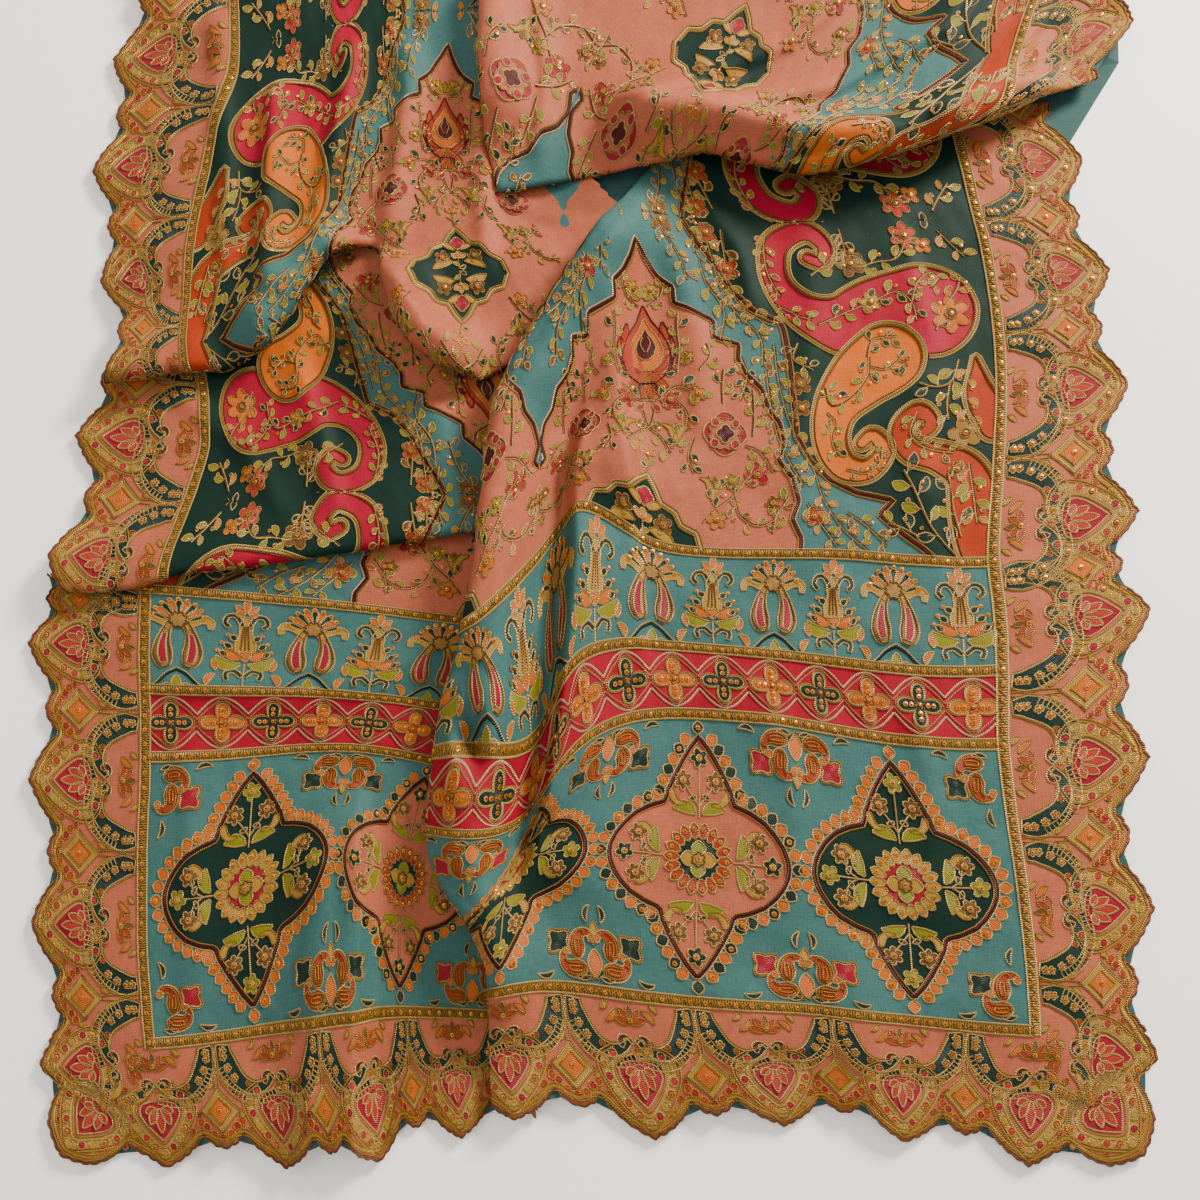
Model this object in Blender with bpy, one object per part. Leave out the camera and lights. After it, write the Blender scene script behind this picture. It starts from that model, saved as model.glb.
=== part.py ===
"""An embroidered dupatta laid on a table with its folds: panels, scalloped borders and gold bands.

The flat cloth has its own axes: U across it from the middle, V along it from the hem tips.
Each stretch that shows is carried from the flat cloth to the table by a smooth pull through a few
marked spots, raised by its folds, and turned under along its fold edges. Tables are in millimetres.
"""

import math

import bmesh
import bpy
import numpy as np
from mathutils import Vector
from mathutils.geometry import delaunay_2d_cdt

MM = 0.001
# The tables' own origin is the middle of the view; this is the middle of the laid cloth in them
MIDDLE = (5.3, 66.5)

# The cut of the cloth
FIELD_HALF_WIDTH = 367.0
HEM_SEAM = 88.0
STRIP_LOW_SEAM = 280.0
STRIP_HIGH_SEAM = 329.0
FIELD_SEAM = 409.0
BAND_WIDTH = 8.0
STRIP_BAND_WIDTH = 6.0
SEAM_GAP = 1.0

# Thicknesses
WALL = 2.0
BAND_THICKNESS = 0.8
CLEARANCE = 0.3

# Scallops of the border, measured out from the gold band
HEM_PITCH = 2 * FIELD_HALF_WIDTH / 8
SIDE_PITCH = 93.0
END_SCALLOPS = (72.0, 168.0, 264.0, 360.0)
FIRST_FIELD_SCALLOP = 432.0
BIG_TIP = 86.0
SMALL_TIP = 73.0
NOTCH = 57.0
CORNER_TIP = 108.0
CORNER_NOTCH = 74.0
DROOP_HEIGHT = 4.9
DROOP_STARTS = (15.0, 90.0)

# Radii that the cloth turns under with at a fold edge
SMALLEST_ROLL = 1.6
LARGEST_ROLL = 15.0

# Past a corner of a line two of its parts are equally near: the one more aside is taken
TIE_BREAK = 1e-4

# The layers folded beneath
BACKING_REACH = 60.0
BACKING_RIM = 2.2
BACKING_GAP = 0.6
BACKING_STEP = 27.0
SAMPLES_ALONG_EDGE = 5

# Cloth mesh
FINE_STEP = 17.5
COARSE_STEP = 35.0
FINE_REACH = 28.0
EVENING_PASSES = 7

# Height of each stretch above the table, away from its folds
REST_HEIGHT = {"left": 7.0, "fold": 7.0, "upper": 15.0, "top": 16.0, "right": 8.0}

# Marked spots of each stretch: across the cloth, along it, then x and y on the table
SPOTS = {
    "right": [
        (367, 88, 295, -298), (287, 184, 211, -202), (144, 184, 69, -185), (2, 184, -60, -186),
        (144, 88, 68, -280), (0, 88, -66, -269), (367, 280, 284, -105), (367, 409, 284, 26),
        (112, 409, 36, 38), (367, 680, 286, 307), (286, 660, 205, 286), (105, 565, 34, 192),
        (420, 524, 358, 159), (420, 359, 359, -12), (233, 650, 152, 272), (159, 503, 89, 126),
        (56, 329, -14, -44), (50, 409, -16, 68), (367, 4, 286, -384), (92, 4, 37, -368),
        (0, 4, -57, -352), (183, 4, 124, -358), (275, 4, 203, -368), (205, 280, 127, -88),
        (98, 280, 28, -85), (265, 409, 181, 32), (62, 560, -4, 176), (175, 705, 69, 334),
        (-98, 305, -109, -144), (-62, 305, -75, -144), (-22, 315, -46, -123), (-72, 243, -87, -194),
        (-108, 262, -114, -178), (-50, 208, -76, -215), (-66, 409, -89, -24), (-10, 409, -50, 21),
        (-45, 505, -78, 102), (0, 490, -43, 105), (-85, 350, -86, -76), (15, 590, -29, 213),
        (70, 655, 0, 271), (125, 705, 31, 338), (-20, 560, -58, 169), (0, 370, -43, -31),
    ],
    "left": [
        (-367, 88, -305, -307), (-367, 8, -290, -381), (-287, 184, -245, -205),
        (-367, 280, -320, -114), (-367, 409, -328, 7), (-150, 409, -101, -16), (-144, 184, -138, -198),
        (-144, 88, -136, -286), (-275, 8, -208, -379), (-92, 8, -94, -362), (-215, 8, -166, -382),
        (-222, 184, -184, -178), (-420, 362, -380, -31),
    ],
    "fold": [
        (-286, 666, -236, 75), (-412, 711, -344, 120), (-412, 618, -356, 27), (-233, 679, -186, 90),
        (-367, 711, -289, 116), (-367, 615, -312, 16), (-233, 640, -184, 52), (-215, 840, -194, 225),
        (-140, 680, -102, 86),
    ],
    "upper": [
        (-412, 948, -335, 206), (-412, 1041, -352, 294), (-412, 1134, -347, 389),
        (-367, 948, -309, 206), (-367, 1065, -301, 322), (-367, 1155, -282, 410),
        (-286, 1180, -206, 423), (-105, 1079, -119, 364), (-105, 923, -105, 249),
        (-159, 1017, -171, 302), (-130, 845, -111, 176), (-275, 948, -256, 203),
        (-240, 1030, -269, 294), (-105, 1150, -120, 423),
    ],
    "top": [
        (-20, 690, -46, 322), (105, 767, 4, 432), (159, 829, 50, 393), (105, 923, 108, 410),
        (-10, 760, -75, 390), (412, 880, 365, 423), (345, 930, 291, 423), (240, 960, 210, 436),
        (350, 860, 280, 357), (235, 850, 161, 340),
    ],
}

# Folds: stretch, rise, half width to the west, half width to the east (or north, south),
# run-in at the start, run-out at the end, then the crest's x and y
FOLDS = [
    ("right", 34, 34, 24, 60, 60, [(36, 317), (-18, 225), (-58, 141), (-71, 52), (-75, -34), (-82, -117),
                                   (-89, -178), (-72, -233), (-69, -300)]),
    ("right", 17, 6, 45, 50, 50, [(-7, 145), (-17, 92), (-16, 25), (-20, -32), (-27, -89), (-33, -130),
                                  (-43, -178), (-56, -215)]),
    ("right", 6, 40, 40, 40, 40, [(-60, -400), (-62, -230)]),
    ("right", 9, 25, 9, 30, 30, [(21, 281), (9, 202), (16, 124), (29, 56)]),
    ("right", -22, 20, 20, 12, 12, [(-101, -104), (-76, -101)]),
    ("right", 7, 25, 25, 60, 60, [(86, -392), (90, -342), (109, -251)]),
    ("right", 7, 25, 25, 60, 60, [(185, -392), (184, -329), (171, -238)]),
    ("left", 18, 45, 9, 60, 10, [(-171, -130), (-165, -211), (-166, -276), (-162, -396)]),
    ("left", 7, 25, 25, 40, 40, [(-244, -398), (-252, -316)]),
    ("fold", 13, 34, 34, 20, 10, [(-40, 52), (-144, 51), (-215, 36), (-301, 24), (-450, 8)]),
    ("upper", 13, 28, 28, 10, 40, [(-470, 172), (-322, 174), (-262, 184)]),
    ("upper", -7, 45, 45, 10, 30, [(-50, 570), (-50, 262)]),
    ("upper", 28, 35, 22, 30, 30, [(-262, 178), (-204, 245), (-172, 266)]),
    ("upper", 32, 20, 20, 30, 30, [(-156, 258), (-148, 215), (-124, 184), (-86, 176)]),
    ("top", 38, 26, 22, 40, 60, [(0, 367), (75, 363), (148, 343), (223, 343), (298, 367), (360, 396)]),
    ("top", 24, 20, 30, 40, 40, [(-85, 513), (-84, 411), (-75, 345)]),
]

# What shows of each stretch, clockwise: runs of the table outline, "fold" where the cloth turns under
# and "under" where it goes on beneath another stretch
OUTLINES = {
    "left": [
        ("under", [(-465, 39), (-327, 43), (-102, 73), (-72, -1), (-56, -116), (-70, -178), (-55, -232),
                   (-41, -252), (-40, -420), (-440, -430), (-465, 39)]),
    ],
    "fold": [
        ("under", [(-440, 1), (-440, 193), (-356, 201), (-276, 224), (-204, 285), (-151, 285), (-97, 224),
                   (-41, 224), (-15, 162), (-40, 86), (-50, 46)]),
        ("fold", [(-50, 46), (-97, 46), (-144, 39), (-215, 27), (-301, 16), (-336, 5), (-440, 1)]),
    ],
    "upper": [
        ("under", [(-457, 159), (-457, 520)]),
        ("fold", [(-457, 520), (-35, 520)]),
        ("under", [(-35, 520), (-40, 341), (-7, 276), (-7, 221)]),
        ("fold", [(-7, 221), (-40, 201), (-59, 180), (-88, 162), (-117, 168), (-139, 186), (-153, 212),
                  (-163, 243), (-167, 270), (-186, 266), (-204, 251), (-222, 221), (-242, 188),
                  (-278, 169), (-322, 164), (-365, 160), (-457, 159)]),
    ],
    "top": [
        ("fold", [(-94, 512), (464, 512)]),
        ("under", [(464, 512), (464, 424)]),
        ("fold", [(464, 424), (400, 414), (345, 389), (299, 365), (260, 346), (223, 331), (185, 322),
                  (148, 319), (111, 328), (74, 339), (30, 331)]),
        ("under", [(30, 331), (29, 253), (-29, 222), (-74, 300)]),
        ("fold", [(-74, 300), (-89, 356), (-94, 422), (-94, 512)]),
    ],
    "right": [
        ("under", [(38, 338), (76, 379), (457, 400), (420, -418), (-73, -418)]),
        ("fold", [(-73, -418), (-74, -344), (-74, -282), (-76, -254), (-86, -230), (-101, -211),
                  (-114, -192), (-119, -174), (-119, -144), (-116, -110), (-110, -76), (-101, -44),
                  (-95, -20), (-90, 23), (-86, 67), (-76, 142), (-58, 187), (-29, 234), (0, 281),
                  (38, 338)]),
    ],
}

# Sharp corners of fold edges, where the cloth turns under tightly
PINCHES = {"upper": [(-167, 270)]}

# Which stretches each one lies on
LIES_ON = {
    "left": (),
    "fold": ("left",),
    "upper": ("fold",),
    "top": ("right", "upper"),
    "right": ("left", "fold", "upper", "top"),
}

COLOURS = {
    "teal silk": (0.105, 0.31, 0.31),
    "dark green silk": (0.012, 0.065, 0.045),
    "crimson silk": (0.52, 0.02, 0.08),
    "pink silk": (0.6, 0.26, 0.17),
    "gold band": (0.49, 0.3, 0.03),
}


def smooth(start, end, value):
    """0 below start, 1 above end, and an S curve between them."""
    share = np.clip((value - start) / (end - start), 0, 1)
    return share * share * (3 - 2 * share)


def across(line, spots):
    """Distance of each spot from a line of points, positive to its left, and the distance along it."""
    line = np.asarray(line, float)
    steps = line[1:] - line[:-1]
    lengths = np.linalg.norm(steps, axis=1)
    starts = np.concatenate([[0], np.cumsum(lengths)])
    off = spots[..., None, :] - line[:-1]
    share = np.einsum("...ij,ij->...i", off, steps) / lengths**2
    low = np.zeros(len(steps))
    high = np.ones(len(steps))
    low[0], high[-1] = -np.inf, np.inf
    share = np.clip(share, low, high)
    rest = off - share[..., None] * steps
    distance = np.linalg.norm(rest, axis=-1)
    aside = (steps[:, 0] * off[..., 1] - steps[:, 1] * off[..., 0]) / lengths
    side = np.sign(aside)
    nearest = (distance - TIE_BREAK * np.abs(aside)).argmin(-1)[..., None]
    pick = lambda values: np.take_along_axis(values, nearest, -1)[..., 0]
    return pick(side * distance), pick(starts[:-1] + share * lengths), starts[-1]


def height(stretch, spots):
    """Height of the cloth's face over spots of the table: its rest height, and a bell for each fold."""
    rise = np.full(spots.shape[:-1], REST_HEIGHT[stretch])
    for owner, peak, west, east, run_in, run_out, crest in FOLDS:
        if owner != stretch:
            continue
        offset, along, length = across(crest, spots)
        heads_down = crest[-1][1] < crest[0][1] and abs(crest[-1][1] - crest[0][1]) > abs(
            crest[-1][0] - crest[0][0]
        )
        width = np.where(offset > 0, east if heads_down else west, west if heads_down else east)
        ends = smooth(-0.3 * run_in, run_in, along) * (
            1 - smooth(length - run_out, length + 0.3 * run_out, along)
        )
        rise += peak * ends * np.exp(-((offset / width) ** 2))
    return rise


def thin_plate(distance):
    """The bend of a thin plate at a distance from a pin, in hundreds of millimetres."""
    r = distance / 100
    return np.where(r > 0, r * r * np.log(r + 1e-9), 0)


def pull_of(stretch, slack=0.06):
    """The weights of the thin plate pull that carries the marked spots to their places."""
    rows = np.array(SPOTS[stretch], float)
    pins, places = rows[:, :2], rows[:, 2:]
    bend = thin_plate(np.linalg.norm(pins[:, None] - pins, axis=-1)) + np.eye(len(pins)) * slack
    plane = np.concatenate([np.ones((len(pins), 1)), pins / 100], 1)
    system = np.block([[bend, plane], [plane.T, np.zeros((3, 3))]])
    return pins, np.linalg.solve(system, np.concatenate([places - pins, np.zeros((3, 2))]))


PULLS = {stretch: pull_of(stretch) for stretch in SPOTS}


def on_table(stretch, cloth):
    """Table x and y of points of the flat cloth: the point, a plane shift and the thin plate's bends."""
    pins, weights = PULLS[stretch]
    bend = thin_plate(np.linalg.norm(cloth[..., None, :] - pins, axis=-1))
    count = len(pins)
    return cloth + bend @ weights[:count] + weights[count] + (cloth / 100) @ weights[count + 1 :]


def on_cloth(stretch, table):
    """The flat cloth's points that lie at spots of the table, by Newton steps on on_table."""
    rows = np.array(SPOTS[stretch], float)
    nearest = np.linalg.norm(table[:, None] - rows[:, 2:], axis=-1).argmin(1)
    cloth = rows[nearest, :2] + table - rows[nearest, 2:]
    step = 0.5
    for _ in range(30):
        miss = table - on_table(stretch, cloth)
        du = (on_table(stretch, cloth + (step, 0)) - on_table(stretch, cloth - (step, 0))) / (2 * step)
        dv = (on_table(stretch, cloth + (0, step)) - on_table(stretch, cloth - (0, step))) / (2 * step)
        turn = du[:, 0] * dv[:, 1] - du[:, 1] * dv[:, 0]
        turn = np.where(np.abs(turn) < 0.15, 0.15, turn)
        move_u = (miss[:, 0] * dv[:, 1] - miss[:, 1] * dv[:, 0]) / turn
        move_v = (miss[:, 1] * du[:, 0] - miss[:, 0] * du[:, 1]) / turn
        cloth = cloth + np.clip(np.stack([move_u, move_v], -1), -15, 15)
    return cloth


def fold_edges(stretch):
    """The stretch's fold edges as lines with the stretch on their right."""
    return [line for kind, line in OUTLINES[stretch] if kind == "fold"]


def resampled(line, step):
    """A line's points again, about one step apart."""
    line = np.asarray(line, float)
    lengths = np.linalg.norm(line[1:] - line[:-1], axis=1)
    starts = np.concatenate([[0], np.cumsum(lengths)])
    count = max(2, int(round(starts[-1] / step)) + 1)
    marks = np.linspace(0, starts[-1], count)
    return np.stack([np.interp(marks, starts, line[:, axis]) for axis in (0, 1)], -1)


def roll_radius(stretch, line):
    """Distance along a fold edge, and the radius it turns under with, to clear what it lies on."""
    points = resampled(line, 10.0)
    steps = np.gradient(points, axis=0)
    inward = np.stack([steps[:, 1], -steps[:, 0]], -1)
    inward /= np.linalg.norm(inward, axis=1, keepdims=True)
    under = np.full(len(points), WALL)
    for lower in LIES_ON[stretch]:
        for reach in (0, 8, 16):
            under = np.maximum(under, height(lower, points + inward * reach))
    radius = (height(stretch, points + inward * 6) - under - WALL - 4 * CLEARANCE) / 2
    radius = np.clip(radius, SMALLEST_ROLL, LARGEST_ROLL)
    for corner in PINCHES.get(stretch, []):
        away = np.linalg.norm(points - corner, axis=1)
        radius = np.minimum(radius, SMALLEST_ROLL + 0.2 * away)
    radius = np.minimum(radius, np.convolve(np.pad(radius, 2, mode="edge"), np.ones(5) / 5, mode="valid"))
    marks = np.concatenate([[0], np.cumsum(np.linalg.norm(points[1:] - points[:-1], axis=1))])
    return marks, radius


ROLLS = {
    stretch: [(line, *roll_radius(stretch, line)) for line in fold_edges(stretch)] for stretch in OUTLINES
}


def border_reach(cloth):
    """How far cloth points lie outside the gold band round the field."""
    over = np.maximum(np.abs(cloth[..., 0]) - FIELD_HALF_WIDTH, 0)
    below = np.maximum(HEM_SEAM - cloth[..., 1], 0)
    return np.hypot(over, below)


def laid(stretch, cloth):
    """World points, in millimetres, of the cloth's face."""
    table = on_table(stretch, cloth)
    drop = np.zeros(len(table))
    shift = np.zeros_like(table)
    crown = np.zeros_like(table)
    clear_of_edge = np.full(len(table), np.inf)
    for line, marks, radii in ROLLS[stretch]:
        offset, along, _ = across(line, table)
        inside = -offset
        clear_of_edge = np.minimum(clear_of_edge, inside)
        radius = np.interp(along, marks, radii)
        ahead = across(line, table + (0.05, 0))[0], across(line, table + (0, 0.05))[0]
        inward = -np.stack([(ahead[0] - offset) / 0.05, (ahead[1] - offset) / 0.05], -1)
        inward /= np.maximum(np.linalg.norm(inward, axis=-1, keepdims=True), 1e-6)
        arc = radius - inside
        turn = np.clip(arc / radius, 0, math.pi)
        beyond = np.maximum(arc - math.pi * radius, 0)
        place = np.where(arc > 0, radius - radius * np.sin(turn) + beyond, inside)
        shift += (place - inside)[:, None] * inward
        crown += np.where(arc > 0, arc, 0)[:, None] * inward
        drop = np.maximum(drop, np.where(arc > 0, radius * (1 - np.cos(turn)), 0))
    place = table + shift
    rise = height(stretch, table + crown)
    droop = smooth(0, BIG_TIP, border_reach(cloth)) * np.maximum(REST_HEIGHT[stretch] - DROOP_HEIGHT, 0)
    droop *= smooth(*DROOP_STARTS, clear_of_edge)
    return np.concatenate([place, (rise - droop - drop)[:, None]], -1)


def scallop_reach(offset, pitch):
    """Edge points over one repeat: (distance along from the big tip, reach out from the band)."""
    half = pitch / 2
    return [
        (0.0, BIG_TIP), (0.13 * pitch, BIG_TIP - 8), (0.25 * pitch, BIG_TIP - 21), (0.33 * pitch, NOTCH),
        (0.41 * pitch, SMALL_TIP - 8), (half, SMALL_TIP), (0.59 * pitch, SMALL_TIP - 8),
        (0.67 * pitch, NOTCH), (0.75 * pitch, BIG_TIP - 21), (0.87 * pitch, BIG_TIP - 8),
    ][offset:]


def side_edge(top):
    """The side border's edge from the corner up: (distance along V, reach out)."""
    tips = list(END_SCALLOPS) + [
        FIRST_FIELD_SCALLOP + SIDE_PITCH * k for k in range(int((top - FIRST_FIELD_SCALLOP) / SIDE_PITCH) + 2)
    ]
    points = []
    for low, high in zip(tips, tips[1:]):
        points += [(low + along, reach) for along, reach in scallop_reach(0, high - low)]
    return points


def cut_edge(top):
    """The scalloped outline of the cloth from the left side's top, round the hem, to the right side's top."""
    right = [(FIELD_HALF_WIDTH + reach, v) for v, reach in side_edge(top)]
    corner = []
    for degrees, reach in ((-8, BIG_TIP - 6), (-22, CORNER_NOTCH), (-34, CORNER_TIP - 8), (-45, CORNER_TIP),
                           (-56, CORNER_TIP - 8), (-68, CORNER_NOTCH), (-80, BIG_TIP - 7)):
        angle = math.radians(degrees)
        corner.append(
            (FIELD_HALF_WIDTH + reach * math.cos(angle), HEM_SEAM + reach * math.sin(angle))
        )
    hem = []
    for k in range(8):
        hem += [
            (-FIELD_HALF_WIDTH + HEM_PITCH * k + along, HEM_SEAM - reach)
            for along, reach in scallop_reach(0, HEM_PITCH)
        ]
    hem.append((FIELD_HALF_WIDTH, HEM_SEAM - BIG_TIP))
    left = [(-u, v) for u, v in right]
    left_corner = [(-u, v) for u, v in corner]
    return np.array(left[::-1] + left_corner + hem + corner[::-1] + right)


EDGE = cut_edge(1500.0)


def inside_loop(loop, points):
    """Which points lie inside a closed loop, by counting the crossings to their right."""
    inside = np.zeros(len(points), bool)
    for (x0, y0), (x1, y1) in zip(loop, np.roll(loop, -1, axis=0)):
        if y0 == y1:
            continue
        crosses = (y0 > points[:, 1]) != (y1 > points[:, 1])
        inside ^= crosses & (points[:, 0] < (x1 - x0) * (points[:, 1] - y0) / (y1 - y0) + x0)
    return inside


def stretch_loop(stretch):
    """The stretch's bounds on the flat cloth, with room for the cloth that turns under."""
    runs = []
    for kind, line in OUTLINES[stretch]:
        points = resampled(line, 14.0)
        if kind == "fold":
            steps = np.gradient(points, axis=0)
            outward = np.stack([-steps[:, 1], steps[:, 0]], -1)
            outward /= np.linalg.norm(outward, axis=1, keepdims=True)
            marks, radii = roll_radius(stretch, line)
            along = np.concatenate([[0], np.cumsum(np.linalg.norm(points[1:] - points[:-1], axis=1))])
            points = points + outward * ((math.pi - 1) * np.interp(along, marks, radii)[:, None])
        runs.append(points[:-1])
    return on_cloth(stretch, np.concatenate(runs))


def crease_distance(stretch, table):
    """How near table spots are to a fold or a fold edge of the stretch."""
    nearest = np.full(len(table), np.inf)
    creases = [crest for owner, *_, crest in FOLDS if owner == stretch]
    for line in creases + fold_edges(stretch):
        nearest = np.minimum(nearest, np.abs(across(line, table)[0]))
    return nearest


# The cut pieces, by their bounds on the flat cloth: name, colour, lowest V, highest V, place
PANELS = [
    ("end_panel", "teal silk", HEM_SEAM, STRIP_LOW_SEAM, "middle"),
    ("cross_strip", "crimson silk", STRIP_LOW_SEAM, STRIP_HIGH_SEAM, "middle"),
    ("flower_band", "teal silk", STRIP_HIGH_SEAM, FIELD_SEAM, "middle"),
    ("field", "dark green silk", FIELD_SEAM, 2000.0, "middle"),
    ("hem_border", "pink silk", -200.0, HEM_SEAM, "hem"),
    ("side_border", "pink silk", HEM_SEAM, 2000.0, "side"),
]
# The gold bands: name, line they cover ("v" across the cloth or "u" along it), its place, width
BANDS = [
    ("hem_gold_band", "v", HEM_SEAM, BAND_WIDTH),
    ("strip_low_gold_band", "v", STRIP_LOW_SEAM, STRIP_BAND_WIDTH),
    ("strip_high_gold_band", "v", STRIP_HIGH_SEAM, STRIP_BAND_WIDTH),
    ("field_gold_band", "v", FIELD_SEAM, BAND_WIDTH),
    ("side_gold_band", "u", FIELD_HALF_WIDTH, BAND_WIDTH),
]


def guide_lines(sign_range=(-1, 1)):
    """Straight lines that the mesh has to follow: seams with their gap, and the bands' edges."""
    lines = []
    for _, axis, place, width in BANDS:
        for offset in (-width / 2, -SEAM_GAP / 2, SEAM_GAP / 2, width / 2):
            far = FIELD_HALF_WIDTH
            if place == HEM_SEAM and abs(offset) < width / 2:
                far += BIG_TIP
            if axis == "v":
                lines.append(("v", place + offset, -far, far))
            else:
                for sign in sign_range:
                    lines.append(("u", sign * (place + offset), HEM_SEAM, 1400.0))
    return lines


def stretch_mesh(stretch):
    """Triangles over the stretch on the flat cloth, following its bounds, the cut edge and the guides."""
    loop = stretch_loop(stretch)
    low, high = loop.min(0) - 5, loop.max(0) + 5
    edge = EDGE[(EDGE > low - 60).all(1) & (EDGE < high + 60).all(1)]
    points = [Vector(p) for p in loop]
    edges = [(i, (i + 1) % len(loop)) for i in range(len(loop))]

    def add_line(line):
        first = len(points)
        points.extend(Vector(p) for p in line)
        edges.extend((first + i, first + i + 1) for i in range(len(line) - 1))

    runs = np.split(edge, np.nonzero(np.linalg.norm(edge[1:] - edge[:-1], axis=1) > 70)[0] + 1)
    for run in runs:
        if len(run) > 1:
            add_line(run)
    guides = guide_lines()
    for axis, place, start, end in guides:
        across_axis = 1 if axis == "v" else 0
        if not low[across_axis] - 10 < place < high[across_axis] + 10:
            continue
        along_axis = 1 - across_axis
        start = max(start, low[along_axis] - 20)
        end = min(end, high[along_axis] + 20)
        if end - start < 20:
            continue
        count = max(2, int(round((end - start) / COARSE_STEP)) + 1)
        marks = np.linspace(start, end, count)
        flat = np.full(count, place)
        add_line(np.stack([marks, flat] if axis == "v" else [flat, marks], -1))
    grid_u = np.arange(low[0], high[0], FINE_STEP)
    grid_v = np.arange(low[1], high[1], FINE_STEP)
    rows, columns = np.meshgrid(np.arange(len(grid_v)), np.arange(len(grid_u)), indexing="ij")
    grid = np.stack([grid_u[columns] + (rows % 2) * FINE_STEP / 2, grid_v[rows]], -1).reshape(-1, 2)
    rows, columns = rows.ravel(), columns.ravel()
    inside = inside_loop(loop, grid) & inside_loop(EDGE, grid)
    grid, rows, columns = grid[inside], rows[inside], columns[inside]
    table = on_table(stretch, grid)
    coarse = (rows % 2 == 0) & ((columns + rows // 2) % 2 == 0)
    keep = coarse | (crease_distance(stretch, table) < FINE_REACH)
    outline = np.concatenate([resampled(np.concatenate([loop, loop[:1]]), 5.0), resampled(edge, 5.0)])
    for axis, place, start, end in guides:
        across_axis = 1 if axis == "v" else 0
        near = np.abs(grid[:, across_axis] - place) < 0.35 * FINE_STEP
        near &= (grid[:, 1 - across_axis] > start) & (grid[:, 1 - across_axis] < end)
        keep &= ~near
    gap = np.array([np.linalg.norm(outline - p, axis=1).min() for p in grid])
    keep &= gap > 0.45 * FINE_STEP
    points.extend(Vector(p) for p in grid[keep])
    made = delaunay_2d_cdt(points, edges, [], 0, 0.01)
    cloth = np.array([(p.x, p.y) for p in made[0]])
    triangles = np.array([face for face in made[2] if len(face) == 3])
    middles = cloth[triangles].mean(1)
    kept = inside_loop(loop, middles) & inside_loop(EDGE, middles)
    return cloth, triangles[kept]


def unit(vectors):
    """Vectors brought to length 1."""
    return vectors / np.maximum(np.linalg.norm(vectors, axis=1, keepdims=True), 1e-9)


def normals_of(points, triangles):
    """Unit normals at the points: the sum of the triangles' area normals, evened out with near points'."""
    a, b, c = (points[triangles[:, i]] for i in range(3))
    area = np.cross(b - a, c - a)
    total = np.zeros_like(points)
    for i in range(3):
        np.add.at(total, triangles[:, i], area)
    normals = unit(total)
    ends = np.unique(np.sort(np.concatenate([triangles[:, [i, (i + 1) % 3]] for i in range(3)])), axis=0)
    weight = 1 / np.maximum(np.linalg.norm(points[ends[:, 0]] - points[ends[:, 1]], axis=1), 0.2)
    for _ in range(EVENING_PASSES):
        total = normals * 0.15
        np.add.at(total, ends[:, 0], normals[ends[:, 1]] * weight[:, None])
        np.add.at(total, ends[:, 1], normals[ends[:, 0]] * weight[:, None])
        normals = unit(total)
    return normals


def joined_groups(triangles):
    """Splits triangles into groups that share edges."""
    owner = {}
    parent = list(range(len(triangles)))

    def root(i):
        while parent[i] != i:
            parent[i] = parent[parent[i]]
            i = parent[i]
        return i

    for i, face in enumerate(triangles):
        for a, b in ((0, 1), (1, 2), (2, 0)):
            key = tuple(sorted((face[a], face[b])))
            if key in owner:
                parent[root(i)] = root(owner[key])
            else:
                owner[key] = i
    groups = {}
    for i in range(len(triangles)):
        groups.setdefault(root(i), []).append(i)
    return sorted((triangles[group] for group in groups.values()), key=len, reverse=True)


def material(name):
    """A plain cloth material."""
    if name in bpy.data.materials:
        return bpy.data.materials[name]
    made = bpy.data.materials.new(name)
    made.use_nodes = True
    shader = made.node_tree.nodes["Principled BSDF"]
    shader.inputs["Base Color"].default_value = (*COLOURS[name], 1)
    shader.inputs["Roughness"].default_value = 0.45 if name == "gold band" else 0.75
    shader.inputs["Metallic"].default_value = 0.4 if name == "gold band" else 0.0
    return made


def sheet_solid(name, points, normals, triangles, bottom, top, colour):
    """A closed solid over the triangles, from bottom to top above the cloth's face along its normals."""
    used, index = np.unique(triangles, return_inverse=True)
    faces = index.reshape(triangles.shape)
    count = len(used)
    over = points[used] + normals[used] * top
    beneath = points[used] + normals[used] * bottom
    sides = {}
    for face in faces:
        for a, b in ((0, 1), (1, 2), (2, 0)):
            sides[(face[a], face[b])] = (face[b], face[a])
    rim = [edge for edge, back in sides.items() if back not in sides]
    all_faces = [tuple(map(int, f)) for f in faces]
    all_faces += [tuple(int(i) + count for i in f[::-1]) for f in faces]
    for a, b in rim:
        a, b = int(a), int(b)
        all_faces += [(b, a, a + count), (b, a + count, b + count)]
    mesh = bpy.data.meshes.new(name)
    placed = np.concatenate([over, beneath]) - (*MIDDLE, 0)
    mesh.from_pydata((placed * MM).tolist(), [], all_faces)
    mesh.update()
    solid = bpy.data.objects.new(name, mesh)
    solid.data.materials.append(material(colour))
    bpy.context.scene.collection.objects.link(solid)
    return solid


def pinches(triangles):
    """Points where a group of triangles touches itself by a corner only."""
    around = {}
    for face in triangles:
        for i in range(3):
            around.setdefault(face[i], []).append({face[(i + 1) % 3], face[(i + 2) % 3]})
    found = []
    for point, links in around.items():
        group = set(links[0])
        rest = links[1:]
        grew = True
        while grew:
            grew = False
            for link in list(rest):
                if link & group:
                    group |= link
                    rest.remove(link)
                    grew = True
        if rest:
            found.append(point)
    return found


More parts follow.
